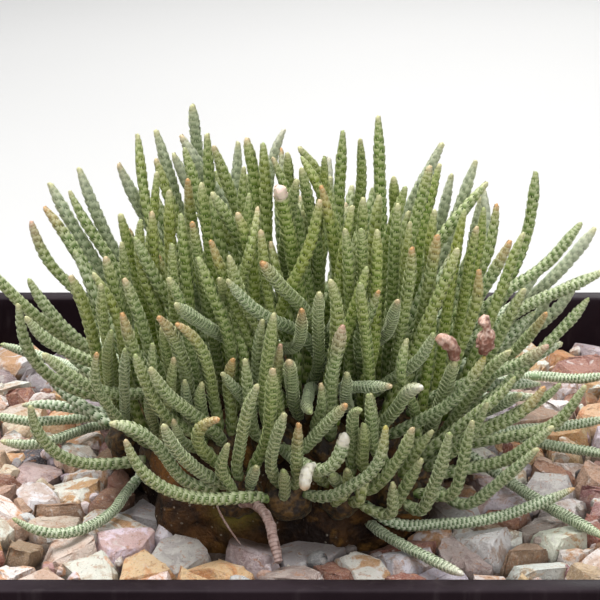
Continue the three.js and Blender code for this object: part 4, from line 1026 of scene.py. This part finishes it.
def plastic_material():
    """Near black, with dust and a painted highlight on what faces up, and streaks down the sides."""
    g = Graph("pan_plastic", Roughness=0.45, Specular_IOR_Level=0.05)
    broad, fine = g.noise(55, 4, 0.6), g.noise(1700, 3)
    colour = g.blend(g.range(broad, 0.35, 0.7), (0.0085, 0.0040, 0.0060), (0.014, 0.0075, 0.010))
    # dust, and a painted highlight, on what faces up
    dust_and_top_highlight = g.math("MULTIPLY", g.range(g.upward(), 0.2, 0.8), g.range(broad, 0.25, 0.7, 0.04, 0.22))
    colour = g.blend(dust_and_top_highlight, colour, (0.070, 0.055, 0.066))
    streak = g.node("ShaderNodeMapping", {"Vector": g.place(), "Scale": (1, 1, 0.12)}).outputs[0]
    streaks = g.range(g.noise(420, 4, at=streak), 0.55, 0.8, 0.0, 0.25)
    streaks = g.math("MULTIPLY", streaks, g.range(g.height(g.place()), 0.02, 0.07))
    colour = g.blend(streaks, colour, (0.070, 0.055, 0.058))
    g.set(g.shader, {"Base_Color": colour, "Roughness": g.range(broad, 0.3, 0.7, 0.38, 0.58)})
    g.bump(fine, 0.00008, 0.5)
    return g.material


def soil_material():
    g = Graph("potting_mix", Roughness=0.95)
    grains = g.cells(420, "Color")
    grey = g.node("ShaderNodeSeparateXYZ", {0: grains}).outputs[0]
    colour = g.blend(g.range(grey, 0.1, 0.9), (0.030, 0.018, 0.010), (0.115, 0.075, 0.045))
    colour = g.blend(g.range(grey, 0.93, 0.96), colour, (0.45, 0.42, 0.38))
    g.set(g.shader, {"Base_Color": colour})
    g.bump(g.math("ADD", g.cells(420), g.noise(1500, 4)), 0.0009, 0.9)
    return g.material


RING_PITCH = 9.0


def dry_material(name, dark, middle, light, per_metre, rings=0.0):
    """Fibres, with painted shade in the hollows, and rings across them where rings isn't 0."""
    g = Graph(name, Roughness=0.75)
    hollow = g.attribute("hollow")
    stretched = g.node("ShaderNodeMapping", {"Vector": g.place(), "Scale": (1, 1, 0.35)}).outputs[0]
    fibre = g.noise(per_metre, 4, 0.6, at=stretched, distortion=0.5)
    colour = g.blend(g.range(fibre, 0.3, 0.72), middle, light)
    # painted shade in the folds and dips, with the darkness given along the tube
    colour = g.blend(g.math("MULTIPLY", g.range(hollow, 0.1, 0.9), 0.9), colour, dark)
    g.set(g.shader, {"Base_Color": colour})
    ring = g.math("SINE", g.math("MULTIPLY", g.attribute("along"), RING_PITCH))
    height = g.math("ADD", fibre, g.math("MULTIPLY", ring, rings))
    g.bump(height, 0.0004, 0.8)
    return g.material


def floor_material():
    g = Graph("studio_floor", Roughness=0.8)
    g.set(g.shader, {"Base_Color": g.blend(g.noise(3, 3), (0.56, 0.555, 0.545), (0.60, 0.595, 0.585))})
    return g.material


SCALES = stem_material()
STONE = stone_material()
BARK = bark_material()
PLASTIC = plastic_material()
DRY = dry_material("dry_stem", (0.20, 0.115, 0.095), (0.31, 0.20, 0.17), (0.46, 0.34, 0.31), 900, 0.25)
PETAL = dry_material("dry_petals", (0.15, 0.045, 0.022), (0.46, 0.245, 0.17), (0.74, 0.55, 0.46), 1500)
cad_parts["soil"].data.materials.clear()
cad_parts["soil"].data.materials.append(soil_material())

# PIECES

LOOKS_SEED = 7
GRAVEL_SEED = 23
MOUND_SEED = 300

chance = np.random.RandomState(LOOKS_SEED)
for number, (crown, name) in enumerate(zip(growing, TUFT_NAMES)):
    shape = Shape(edge=0.0, from_tip=FAR_FROM_TIP, tone=0.5, silver=0.0, wood=0.0, tint=0.0, pale=0.0,
                  tip_colour=(0.5, 0.4, 0.2))
    add_mound(shape, crown, MOUND_SEED + number)
    for stem in crown.stems:
        i = index_of[id(stem)]
        add_stem_shape(shape, stem, lines[i], arcs[i], sides[i], acrosses[i], chance)
    shape.build(name.replace("stem_tuft", "scaly_stems"), SCALES, "stem", [name])

# Caudex
CAUDEX_SIDES = 176
CAUDEX_ROOT_ROWS = 22
CAUDEX_DOME_ROWS = 52
HEART = 50.0
# Places in the front view, as pixels u, v and half sizes, of the painted highlights on the lit side and knobs
# and of the dents, and how deep the dents are in millimetres
LIT_SIDE_AT = (165, 472, 22, 22)
LIT_KNOBS_AT = (234, 512, 22, 17)
# the dents are also painted dark as shade
DENTS = ((144, 492, 16, 24, 1.7), (296, 514, 24, 20, 1.5), (196, 530, 12, 9, 0.8), (345, 520, 20, 14, 1.1))


def painted(points, u, v, wide, high):
    """How near points of the caudex's front are to a place in the front view, from 0 to 1."""
    pixels = to_pixel(points)
    away = ((pixels[:, 0] - u) / wide) ** 2 + ((pixels[:, 1] - v) / high) ** 2
    return np.exp(-away ** 1.5) * (points[:, 1] < CAUDEX["y"])


def add_caudex(shape):
    angle = np.linspace(0, 2 * math.pi, CAUDEX_SIDES, endpoint=False)
    profile = np.array(ROOT_PROFILE[::-1] + ((CAUDEX["radius"], CAUDEX["equator"]),), float)
    z = np.linspace(profile[0, 1], CAUDEX["equator"], CAUDEX_ROOT_ROWS, endpoint=False)
    radius = smooth(np.interp(z, profile[:, 1], profile[:, 0])[:, None] * np.ones(3), 2)[:, 0]
    rows = []
    for r, level in zip(radius, z):
        r = r * lobe_factor(angle, level)
        x, y = CAUDEX["x"] + r * np.cos(angle), CAUDEX["y"] + r * np.sin(angle)
        rows.append(np.stack([x, y, level + 0 * r], -1))
    for swing in np.linspace(0, math.pi / 2, CAUDEX_DOME_ROWS, endpoint=False):
        rows.append(dome_point(angle, math.cos(swing) ** (2 / CAUDEX["dome_power"])))
    points = np.vstack(rows)
    outward = unit(points - (CAUDEX["x"], CAUDEX["y"], HEART))
    swell = 0.9 * waves(points, 9, 41) + 0.5 * waves(points, 4.2, 42, 14) + 0.25 * waves(points, 2.0, 43, 20)
    crease = np.exp(-(waves(points, 7.5, 44, 12) / 0.16) ** 2) * smoothstep(waves(points, 12, 45), -0.4, 0.5)
    dent = sum(depth * painted(points, u, v, wide, high) for u, v, wide, high, depth in DENTS)
    moved = 0.75 * np.maximum(swell, -1.1) - 0.35 - 0.8 * crease - dent
    # where the painted highlights go
    rust, moss = painted(points, *LIT_SIDE_AT), painted(points, *LIT_KNOBS_AT)
    # painted shade: creases and dents are darkened
    dark = np.clip(0.75 * crease + 0.55 * dent, 0, 0.95)
    points = points + outward * (moved * smoothstep(points[:, 2], 40, 58))[:, None]
    top = np.array([[CAUDEX["x"], CAUDEX["y"], CAUDEX["equator"] + CAUDEX["dome_height"]]])
    end = np.array([[CAUDEX["x"], CAUDEX["y"], ROOT_TIP]])
    count = len(points)
    faces = np.vstack([grid_faces(count // CAUDEX_SIDES, CAUDEX_SIDES),
                       fan_faces(count, np.arange(count - CAUDEX_SIDES, count), True),
                       fan_faces(count + 1, np.arange(CAUDEX_SIDES), False)])
    shape.add(np.vstack([points, top, end]), faces, rust=np.append(rust, [0, 0]),
              moss=np.append(moss, [0, 0]), crease=np.append(dark, [0, 0]))


caudex = Shape(rust=0.0, moss=0.0, crease=0.0)
add_caudex(caudex)
caudex.build("caudex_body", BARK, "caudex", ["caudex"])

# Gravel
ICOSPHERES = {}


def points_and_faces(mesh):
    mesh.verts.index_update()
    points = np.array([v.co[:] for v in mesh.verts])
    faces = np.array([[v.index for v in f.verts] for f in mesh.faces])
    mesh.free()
    return points, faces


def icosphere(level):
    """Unit vertices and triangles of an icosphere."""
    if level not in ICOSPHERES:
        ball = bmesh.new()
        bmesh.ops.create_icosphere(ball, subdivisions=level, radius=1)
        ICOSPHERES[level] = points_and_faces(ball)
    return ICOSPHERES[level]


# Two colours of each kind of stone, and how common it is
PALETTE = (
    ((0.84, 0.78, 0.77), (0.62, 0.46, 0.38), 23), ((0.88, 0.82, 0.76), (0.64, 0.34, 0.15), 20),
    ((0.52, 0.45, 0.48), (0.68, 0.62, 0.64), 11), ((0.40, 0.29, 0.27), (0.60, 0.48, 0.45), 9),
    ((0.66, 0.32, 0.14), (0.76, 0.52, 0.30), 12), ((0.27, 0.10, 0.065), (0.44, 0.22, 0.15), 9),
    ((0.36, 0.17, 0.165), (0.54, 0.36, 0.33), 5), ((0.36, 0.225, 0.14), (0.60, 0.40, 0.27), 12),
    ((0.60, 0.40, 0.28), (0.76, 0.62, 0.50), 13), ((0.060, 0.055, 0.065), (0.33, 0.31, 0.32), 2),
)
PALETTE_SHARES = np.array([p[2] for p in PALETTE], float) / sum(p[2] for p in PALETTE)
# Distances from the caudex between which the dark brown on the stones beside it fades, partly their own
# brown, partly painted shade
NEAR_CAUDEX_FADE = (0.5, 6.5)
# Kinds of the stones that stand out, by a place on them in the front view, and how many pixels that reaches
STONE_REACH = 14
STONES_SEEN = (
    (108, 440, 0), (113, 488, 5), (132, 517, 2), (119, 541, 0), (159, 549, 7), (180, 557, 2), (127, 573, 1),
    (188, 573, 4), (241, 571, 4), (217, 547, 7), (265, 576, 0), (297, 552, 2), (319, 573, 4),
)


def kind_seen(middle):
    """The kind of a stone that stands out in the front view, or none."""
    pixel = to_pixel(middle)
    near = [(math.hypot(pixel[0] - u, pixel[1] - v), kind) for u, v, kind in STONES_SEEN]
    return min(near)[1] if min(near)[0] < STONE_REACH and middle[1] < CAUDEX["y"] else None


def add_stone(shape, middle, planes, level, roughness, rng, palette=None):
    """A lump cut flat by planes, each a direction and its distance from the middle."""
    ball, faces = icosphere(level)
    reach = max(d for _, d in planes) * 1.2
    planes = planes + wall_planes(middle)
    turn = np.linalg.qr(rng.normal(size=(3, 3)))[0]
    if np.linalg.det(turn) < 0:
        turn[:, 0] *= -1
    points = ball @ turn * reach
    for _ in range(2):
        for direction, distance in planes:
            over = points @ direction - distance
            points = points - np.maximum(over, 0)[:, None] * direction
    rough = 0.16 * waves(points, 3.6, rng.randint(1000), 7) + 0.10 * waves(points, 1.5, rng.randint(1000), 9)
    rough += rng.uniform(-0.05, 0.05, len(points))
    points = points + (rough * roughness)[:, None] * unit(points)
    tint, second, _ = PALETTE[rng.choice(len(PALETTE), p=PALETTE_SHARES) if palette is None else palette]
    shift = 1 + rng.uniform(-0.14, 0.14, 3) * 0.5 + rng.uniform(-0.12, 0.12)
    points = points + middle
    from_caudex = np.hypot(points[:, 0] - CAUDEX["x"], points[:, 1] - CAUDEX["y"]) - CAUDEX["radius"]
    # dark brown beside the caudex: partly the stones' own brown, partly painted shade
    stain = (1 - smoothstep(from_caudex, *NEAR_CAUDEX_FADE)) * rng.uniform(0.45, 0.9)
    shape.add(points, faces, tint=tuple(np.array(tint) * shift), second=tuple(np.array(second) * shift),
              patchy=rng.uniform(-0.6, 0.9), stain=stain)


def inner_half(z):
    t = (z - POT["floor"]) / (POT["height"] - POT["floor"])
    return mix(POT["half_base"], POT["half_top"] - POT["lip_proud"], t) - POT["wall"]


def wall_planes(middle):
    """Planes that keep a stone inside the pan."""
    room = inner_half(middle[2]) - 0.15
    return [(np.array([sx, sy, 0.0]), room - (middle[0] * sx + middle[1] * sy))
            for sx, sy in ((1, 0), (-1, 0), (0, 1), (0, -1))]


# Millimetres, but for counts and shares. Stones near a stem stay under it
STONES = dict(count=205, draws=9, from_wall=2.6, from_caudex=1.5, neighbour=19, weight=(2.2, 5.2),
              near_stem=5.5, crest=(-1.0, 1.3), depth=(2.6, 3.4), tilt=0.3, bottom=56.5, most_reach=9,
              cuts=(5, 9), cut_rise=(-0.1, 0.95), cut=(0.70, 0.93), thinnest=0.3)
CHIPS = dict(draws=1300, from_wall=0.9, size=(0.85, 1.55), gap=1.5, on_top=0.07, rise=(1.6, 3.2),
             under_caudex=-0.5, largest_on_top=1.2, lift_on_top=0.8, lowest=-0.6, cuts=11,
             stretch=(0.75, 1.25), cut=(0.62, 1.0))
# Larger stones away from the caudex, and larger chips, have more faces
FINE_FROM = 6
FINE_WEIGHT = 3.3
FINE_SIZE = 1.9
BED_CELLS = 90
BED_SEED = 77
# The withered stem as pixels u, v and the share of its depth from its crown to its end
LIMP = ((242, 503, 0), (249, 502, 0.12), (258, 506, 0.3), (266, 515, 0.48), (271, 527, 0.64),
        (274, 542, 0.82), (277, 555, 0.95), (279, 562, 1))


def hanging(route, start, end):
    """Points at pixels u, v whose depth goes from start to end by a share."""
    return np.array([at_depth(u, v, mix(start, end, share)) for u, v, share in route])


limp = hanging(LIMP, *withered_line(crowns[0])[[0, -1], 1])


def outside_caudex(x, y):
    """How far a place is outside the caudex, in millimetres."""
    angle = math.atan2(y - CAUDEX["y"], x - CAUDEX["x"])
    edge = CAUDEX["radius"] * float(lobe_factor(np.array(angle), 61.0))
    return math.hypot(x - CAUDEX["x"], y - CAUDEX["y"]) - edge


def stone_places(rng):
    """Places spread evenly but without rows: each is the one of several that is farthest from the others."""
    room = inner_half(61) - STONES["from_wall"]
    places = []
    while len(places) < STONES["count"]:
        candidates = rng.uniform(-room, room, (STONES["draws"], 2))
        free = [p for p in candidates if outside_caudex(*p) > STONES["from_caudex"]]
        if not places:
            places.append(free[0])
            continue
        gaps = [np.hypot(*(np.array(places) - p).T).min() for p in free]
        places.append(free[int(np.argmax(gaps))])
    return np.array(places)


def stone_sides(places, weights, i, rng):
    """Upright planes between a stone and its neighbours."""
    planes = []
    for j in range(len(places)):
        apart = places[j] - places[i]
        distance = np.hypot(*apart)
        if j == i or distance > STONES["neighbour"]:
            continue
        half = (distance ** 2 + weights[i] ** 2 - weights[j] ** 2) / (2 * distance)
        lean = rng.uniform(0.0, 0.4)
        planes.append((unit(np.array([*(apart / distance), lean])), half * rng.uniform(0.92, 1.03) - 0.1))
    away = np.array([CAUDEX["x"], CAUDEX["y"]]) - places[i]
    planes.append((unit(np.array([*unit(away), 0.1])), outside_caudex(*places[i]) + 0.3))
    return planes


# Planes that a direction meets at a lower cosine than this don't bound it, and how far it then goes
GRAZING = 0.05
OPEN = 20


def add_gravel(shape, small, rng):
    """Stones, then chips in the gaps and on top of them, and the bed of grit."""
    every_line = np.vstack([lines.reshape(-1, 3), limp])
    places = stone_places(rng)
    weights = rng.uniform(*STONES["weight"], len(places))
    compass = np.linspace(0, 2 * math.pi, 24, endpoint=False)
    for i, (x, y) in enumerate(places):
        near = np.hypot(every_line[:, 0] - x, every_line[:, 1] - y) < STONES["near_stem"]
        crest = GRAVEL["surface"] + rng.uniform(*STONES["crest"])
        if near.any():
            crest = min(crest, every_line[near, 2].min() - STEM["radius"] - GAP)
        crest = max(crest, GRAVEL["valley"] + GRAVEL["least_rise"])
        depth = rng.uniform(*STONES["depth"])
        middle = np.array([x, y, crest - depth])
        planes = stone_sides(places, weights, i, rng)
        turned = np.stack([np.cos(compass), np.sin(compass), 0 * compass], -1)
        reach = np.min([np.where(turned @ n > GRAZING, d / np.maximum(turned @ n, GRAZING), OPEN)
                        for n, d in planes], axis=0)
        corners = turned * np.clip(reach, 1, STONES["most_reach"])[:, None] + (0, 0, depth)
        tilt = rng.uniform(-STONES["tilt"], STONES["tilt"], 2)
        planes += [(unit(np.array([*tilt, 1.0])), depth * 0.93),
                   (np.array([0, 0, -1.0]), middle[2] - STONES["bottom"])]
        for _ in range(rng.randint(*STONES["cuts"])):
            turn = rng.uniform(0, 2 * math.pi)
            rise = rng.uniform(*STONES["cut_rise"])
            flat = math.sqrt(1 - rise * rise)
            direction = np.array([flat * math.cos(turn), flat * math.sin(turn), rise])
            planes.append((direction, (corners @ direction).max() * rng.uniform(*STONES["cut"])))
        if min(d for _, d in planes) < STONES["thinnest"]:
            continue
        fine = outside_caudex(x, y) > FINE_FROM and weights[i] > FINE_WEIGHT
        add_stone(shape, middle, planes, 4 if fine else 3, 1.0, rng, kind_seen(middle + (0, 0, depth)))

    # chips
    room = inner_half(60) - CHIPS["from_wall"]
    for x, y in rng.uniform(-room, room, (CHIPS["draws"], 2)):
        size = rng.uniform(*CHIPS["size"]) ** 2
        gaps = np.sort(np.hypot(places[:, 0] - x, places[:, 1] - y))
        in_gap = gaps[1] - gaps[0] < CHIPS["gap"] and gaps[2] - gaps[0] < 2 * CHIPS["gap"]
        height = GRAVEL["valley"] + rng.uniform(*CHIPS["rise"]) - 0.3 * size
        draw = rng.uniform()
        if outside_caudex(x, y) < CHIPS["under_caudex"] or draw > (1 if in_gap else CHIPS["on_top"]):
            continue
        if not in_gap:
            size = min(size, CHIPS["largest_on_top"])
            height += CHIPS["lift_on_top"]
        near = np.hypot(every_line[:, 0] - x, every_line[:, 1] - y) < size + STEM["radius"]
        if near.any():
            height = min(height, every_line[near, 2].min() - STEM["radius"] - size)
        if height < GRAVEL["valley"] + CHIPS["lowest"]:
            continue
        middle = np.array([x, y, height])
        stretch = rng.uniform(*CHIPS["stretch"], 3)
        planes = []
        for _ in range(CHIPS["cuts"]):
            direction = unit(rng.normal(size=3))
            out = size * rng.uniform(*CHIPS["cut"]) * float(np.abs(direction) @ stretch) / 1.5
            planes.append((direction, out))
        add_stone(small, middle, planes, 3 if size > FINE_SIZE else 2, 0.45, rng)

    # the grit under them
    cells = BED_CELLS
    half = inner_half(59) - 0.1
    x, y = np.meshgrid(np.linspace(-half, half, cells), np.linspace(-half, half, cells), indexing="ij")
    bed = np.stack([x, y, 0 * x], -1).reshape(-1, 3)
    lumps = 0.35 * waves(bed, 3.5, BED_SEED, 12)
    bed[:, 2] = GRAVEL["valley"] - 0.1 + lumps + 0.25 * rng.uniform(-1, 1, len(bed))
    ring = np.concatenate([np.arange(cells) * cells, (cells - 1) * cells + np.arange(1, cells),
                           np.arange(cells - 2, -1, -1) * cells + cells - 1, np.arange(cells - 2, 0, -1)])
    total = cells * cells
    under = np.vstack([bed[ring] * (1, 1, 0), np.zeros((1, 3))]) + (0, 0, SOIL_TOP + GAP)
    lower = total + np.arange(len(ring))
    following, lower_following = np.roll(ring, -1), np.roll(lower, -1)
    walls = np.concatenate([np.stack([ring, lower_following, following], 1),
                            np.stack([ring, lower, lower_following], 1)])
    small.add(np.vstack([bed, under]),
              np.vstack([grid_faces(cells, cells, False), walls, fan_faces(total + len(ring), lower, False)]),
              tint=(0.09, 0.055, 0.035), second=(0.20, 0.14, 0.11), patchy=0.0)


gravel, small_gravel = (Shape(tint=(0.5, 0.4, 0.35), second=(0.6, 0.5, 0.45), patchy=0.0, stain=0.0)
                        for _ in range(2))
add_gravel(gravel, small_gravel, np.random.RandomState(GRAVEL_SEED))
gravel.build("gravel_stones", STONE, "gravel", ["gravel"], flat=True)
small_gravel.build("gravel_chips", STONE, "gravel", flat=True)


# Pan
DRAIN_SIDES = 40
DRAIN_EDGE = 0.4
SHARP_ANGLE = math.radians(50)


def square_ring(half, corner, z, steps=10):
    """A square with rounded corners, of that half width."""
    ring = []
    for quarter in range(4):
        middle = math.radians(45 + 90 * quarter)
        cx = math.copysign(half - corner, math.cos(middle))
        cy = math.copysign(half - corner, math.sin(middle))
        for i in range(steps + 1):
            angle = math.radians(90 * (quarter + i / steps))
            ring.append((cx + corner * math.cos(angle), cy + corner * math.sin(angle), z))
    return np.array(ring)


def pan_levels():
    """Half width, corner radius and height of each ring, up the outside and down the inside."""
    base, rim = POT["half_base"], POT["half_top"]
    base_corner, rim_corner = POT["corner_base"], POT["corner_top"]
    body_top, body_corner = rim - POT["lip_proud"], rim_corner - POT["lip_proud"]
    lip = POT["height"] - POT["lip_height"]
    flare = lip + POT["lip_proud"] / 2
    top, edge = POT["height"], 0.5
    inner = rim_corner - POT["wall"]
    levels = [(base - 1.2, base_corner - 1.2, 0), (base - 0.5, base_corner - 0.5, 0.15),
              (base + 0.12, base_corner, 0.9)]
    for step in range(1, 9):
        t = step / 9
        levels.append((mix(base, body_top, t), mix(base_corner, body_corner, t), lip * t))
    levels += [(body_top - 0.02, body_corner, lip - 0.15), (body_top + 0.25, body_corner + 0.25, lip + 0.02),
               (rim - 0.2, rim_corner - 0.2, flare - 0.1), (rim, rim_corner, flare + 0.2),
               (rim, rim_corner, top - edge), (rim - 0.15, rim_corner - 0.15, top - 0.15),
               (rim - edge, rim_corner - edge, top), (inner_half(top) + edge, inner + edge, top),
               (inner_half(top) + 0.15, inner + 0.15, top - 0.15), (inner_half(top), inner, top - edge)]
    for step in range(9):
        z = mix(top - 2, POT["floor"] + 1.2, step / 8)
        levels.append((inner_half(z), inner, z))
    levels.append((inner_half(POT["floor"]) - 0.35, inner - 0.35, POT["floor"] + 0.35))
    levels.append((inner_half(POT["floor"]) - 1.2, inner - 1.2, POT["floor"]))
    return levels


def holed_plate(outline, holes):
    """Triangles that fill an outline except for its holes; all of them are rings at one height."""
    plate = bmesh.new()
    edges = []
    for ring in [outline] + holes:
        verts = [plate.verts.new(p) for p in ring]
        edges += [plate.edges.new((verts[k], verts[(k + 1) % len(verts)])) for k in range(len(verts))]
    bmesh.ops.triangle_fill(plate, use_beauty=True, use_dissolve=False, edges=edges)
    points, faces = points_and_faces(plate)
    a, b, c = points[faces[:, 0]], points[faces[:, 1]], points[faces[:, 2]]
    down = np.cross(b - a, c - a)[:, 2] < 0
    faces[down] = faces[down][:, ::-1]
    return points, faces


def add_pan(shape):
    rings = [square_ring(*level) for level in pan_levels()]
    shape.add(np.vstack(rings), grid_faces(len(rings), len(rings[0])))
    turn = np.linspace(0, 2 * math.pi, DRAIN_SIDES, endpoint=False)
    circle = np.stack([np.cos(turn), np.sin(turn)], -1)
    spots = [(x, y) for x in (-DRAIN["offset"], DRAIN["offset"]) for y in (-DRAIN["offset"], DRAIN["offset"])]
    plates = []
    for outline, z, upwards in ((rings[0], 0, False), (rings[-1], POT["floor"], True)):
        holes = []
        for spot in spots:
            hole = np.zeros((len(circle), 3))
            hole[:, :2] = np.array(spot) + circle * (DRAIN["radius"] + DRAIN_EDGE)
            hole[:, 2] = z
            holes.append(hole)
        points, faces = holed_plate(outline, holes)
        shape.add(points, faces if upwards else faces[:, ::-1])
        plates.append(holes)
    for low, high in zip(*plates):
        centre = low.mean(0)
        rows = [low]
        for z in (DRAIN_EDGE, POT["floor"] - DRAIN_EDGE):
            ring = centre + (low - centre) * (DRAIN["radius"] / (DRAIN["radius"] + DRAIN_EDGE))
            ring[:, 2] = z
            rows.append(ring)
        rows.append(high)
        shape.add(np.vstack(rows), grid_faces(len(rows), len(turn))[:, ::-1])


pan = Shape()
add_pan(pan)
pan_piece = pan.build("square_pan", PLASTIC, "pot", ["pot"], weld=True)
pan_piece.data.set_sharp_from_angle(angle=SHARP_ANGLE)


# What has dried up
def add_tube(shape, points, radius, sides, rng, crumple=0.0, per_span=6, lumps=(), flatness=1.0, dark=None):
    """A closed tube along a smooth line through the points. Radii and darkness are spread along it, crumple
    is the share by which it folds in, and each lump is a size and a height. Its inward folds and the dips
    between lumps are painted darker as shade."""
    points = np.asarray(points, float)
    line = smooth(resample(points, per_span * (len(points) - 1) + 1), 4)
    _, side, across = frames_along(line[None])
    side, across = side[0], across[0]
    count = len(line)
    t = np.linspace(0, 1, count)
    size = np.interp(t, np.linspace(0, 1, len(radius)), radius)
    angle = np.linspace(0, 2 * math.pi, sides, endpoint=False)
    flutes = np.cos(3 * angle + rng.uniform(0, 6)) * 0.6 + np.cos(5 * angle + rng.uniform(0, 6)) * 0.4
    rings, hollow = [], []
    for k in range(count):
        turned = angle + 0.04 * k
        wobble = crumple * (flutes + 0.7 * np.sin(0.5 * k + 2 * angle))
        r = size[k] * (1 + wobble)
        rings.append(line[k] + r[:, None] * (np.cos(turned)[:, None] * side[k]
                                             + flatness * np.sin(turned)[:, None] * across[k]))
        # painted shade: the folds that turn in are darkened
        hollow.append(np.clip(-wobble / max(crumple * 1.5, 1e-6), 0, 1) * (0.6 if crumple else 0))
    rings, hollow = np.vstack(rings), np.concatenate(hollow)
    along = np.repeat(np.linalg.norm(np.diff(line, axis=0, prepend=line[:1]), axis=1).cumsum(), sides)
    outward = unit(rings - np.repeat(line, sides, axis=0))
    for size_of, height in lumps:
        lump = waves(rings, size_of, rng.randint(999), 14)
        rings = rings + (height * lump)[:, None] * outward
        # painted shade in the dips between lumps
        hollow = np.clip(hollow + 0.5 * np.clip(-lump, 0, 1), 0, 1)
    if dark is not None:
        darkness = np.interp(t, np.linspace(0, 1, len(dark)), dark)
        hollow = np.clip(hollow * 0.7 + np.repeat(darkness, sides), 0, 1)
    total = count * sides
    faces = np.vstack([grid_faces(count, sides), fan_faces(total, np.arange(sides), False),
                       fan_faces(total + 1, np.arange(total - sides, total), True)])
    ends = np.array([line[0] - 0.3 * size[0] * unit(line[1] - line[0]),
                     line[-1] + 0.6 * size[-1] * unit(line[-1] - line[-2])])
    shape.add(np.vstack([rings, ends]), faces, hollow=np.append(hollow, [0, 0]),
              along=np.append(along, [0, 0]))


LIMP_RADII = (0.95, 0.95, 0.92, 0.9, 0.92, 0.9, 0.7)
HAIR = ((217, 506, 0), (221, 515, 0.3), (228, 527, 0.6), (235, 537, 0.85), (241, 545, 1))
HAIR_RADII = (0.16, 0.2, 0.2, 0.18, 0.1)
HAIR_FROM = -37.5
HAIR_ENDS_AT = 63.6

dried = Shape(hollow=0.0, along=0.0)
add_tube(dried, limp, LIMP_RADII, 20, chance, 0.05, 14, lumps=((1.6, 0.05),))
hair = hanging(HAIR, HAIR_FROM, at_height(*HAIR[-1][:2], HAIR_ENDS_AT)[1])
add_tube(dried, hair, HAIR_RADII, 6, chance, 0.0, 5)
dried.build("withered_stem_and_hair", DRY, "withered", ["withered_stem"])

# Each withered flower: pixels u, v along it from its stem to its end, radii, how dark it is along its length,
# how flat it is and the sizes and heights of its lumps
BLOSSOMS = (
    dict(path=((484, 351), (485, 345), (487, 337), (487, 328), (485, 322), (484, 317)),
         radius=(0.55, 1.3, 1.7, 1.85, 1.75, 1.45, 1.05, 1.2, 1.2, 0.85), flatness=0.8,
         dark=(0.6, 0.75, 0.45, 0.5, 0.35, 0.1, 0.1, 0.0, 0.0, 0.05),
         lumps=((2.4, 0.22), (1.0, 0.12), (0.5, 0.06))),
    dict(path=((454, 357), (454, 351), (450, 344), (444, 339), (438, 339)),
         radius=(0.85, 1.1, 1.3, 1.45, 1.45, 1.3, 1.0), flatness=0.85,
         dark=(0.35, 0.55, 0.6, 0.3, 0.35, 0.1, 0.1), lumps=((2.2, 0.12), (0.9, 0.06))),
)
# The petal that sticks out of the first one
POINT = ((484, 345), (480, 345), (476, 347))

for number, (flower, look) in enumerate(zip(FLOWERS, BLOSSOMS)):
    blossom = Shape(hollow=0.0, along=0.0)
    _, start, _ = flower_axis(flower, all_stems)
    path = [start] + [at_depth(u, v, start[1]) for u, v in look["path"]]
    add_tube(blossom, path, look["radius"], 44, chance, 0.07, 9, look["lumps"], look["flatness"],
             look["dark"])
    if number == 0:
        point = [at_depth(u, v, start[1]) for u, v in POINT]
        add_tube(blossom, point, (0.9, 0.55, 0.12), 16, chance, 0.1, 6, dark=(0.5, 0.4, 0.3))
    blossom.build("withered_blossom_%d" % (number + 1), PETAL, "withered", ["dried_flower_%d" % (number + 1)])

# FLOOR, CAMERA AND LIGHTS


SENSOR = 36
CLIP = (0.01, 20)
FLOOR_HALF = 3
LIT = (0, 0, 0.08)
# Name, place in metres, size and watts
LIGHTS = (("key", (-0.16, 0.02, 0.75), 0.5, 7.6), ("fill", (0.30, -0.85, 0.50), 0.7, 4.5),
          ("rim", (0.15, 0.75, 0.5), 0.5, 3.5))
SKY = (0.95, 0.97, 1.0, 1)
SKY_STRENGTH = 0.38


def look_at(thing, at, target):
    thing.location = Vector(at)
    thing.rotation_euler = (Vector(target) - Vector(at)).to_track_quat("-Z", "Y").to_euler()
    bpy.context.scene.collection.objects.link(thing)


floor_mesh = bpy.data.meshes.new("studio_floor")
corners = [(x * FLOOR_HALF, y * FLOOR_HALF, 0) for x, y in ((-1, -1), (1, -1), (1, 1), (-1, 1))]
floor_mesh.from_pydata(corners, [], [(0, 1, 2, 3)])
floor_mesh.materials.append(floor_material())
floor = bpy.data.objects.new("studio_floor", floor_mesh)
bpy.context.scene.collection.objects.link(floor)

camera = bpy.data.objects.new("camera", bpy.data.cameras.new("camera"))
camera.data.sensor_width = SENSOR
camera.data.lens = SENSOR * VIEW["focal"] / (2 * VIEW["centre"])
camera.data.clip_start, camera.data.clip_end = CLIP
look_at(camera, EYE * MM, (0, 0, VIEW["height"] * MM))
bpy.context.scene.camera = camera

for name, at, size, power in LIGHTS:
    light = bpy.data.lights.new(name, "AREA")
    light.size, light.energy = size, power
    look_at(bpy.data.objects.new(name, light), at, LIT)

world = bpy.data.worlds.new("studio")
world.use_nodes = True
sky = world.node_tree.nodes["Background"].inputs
sky["Color"].default_value = SKY
sky["Strength"].default_value = SKY_STRENGTH
bpy.context.scene.world = world
bpy.context.scene.view_settings.view_transform = "Standard"
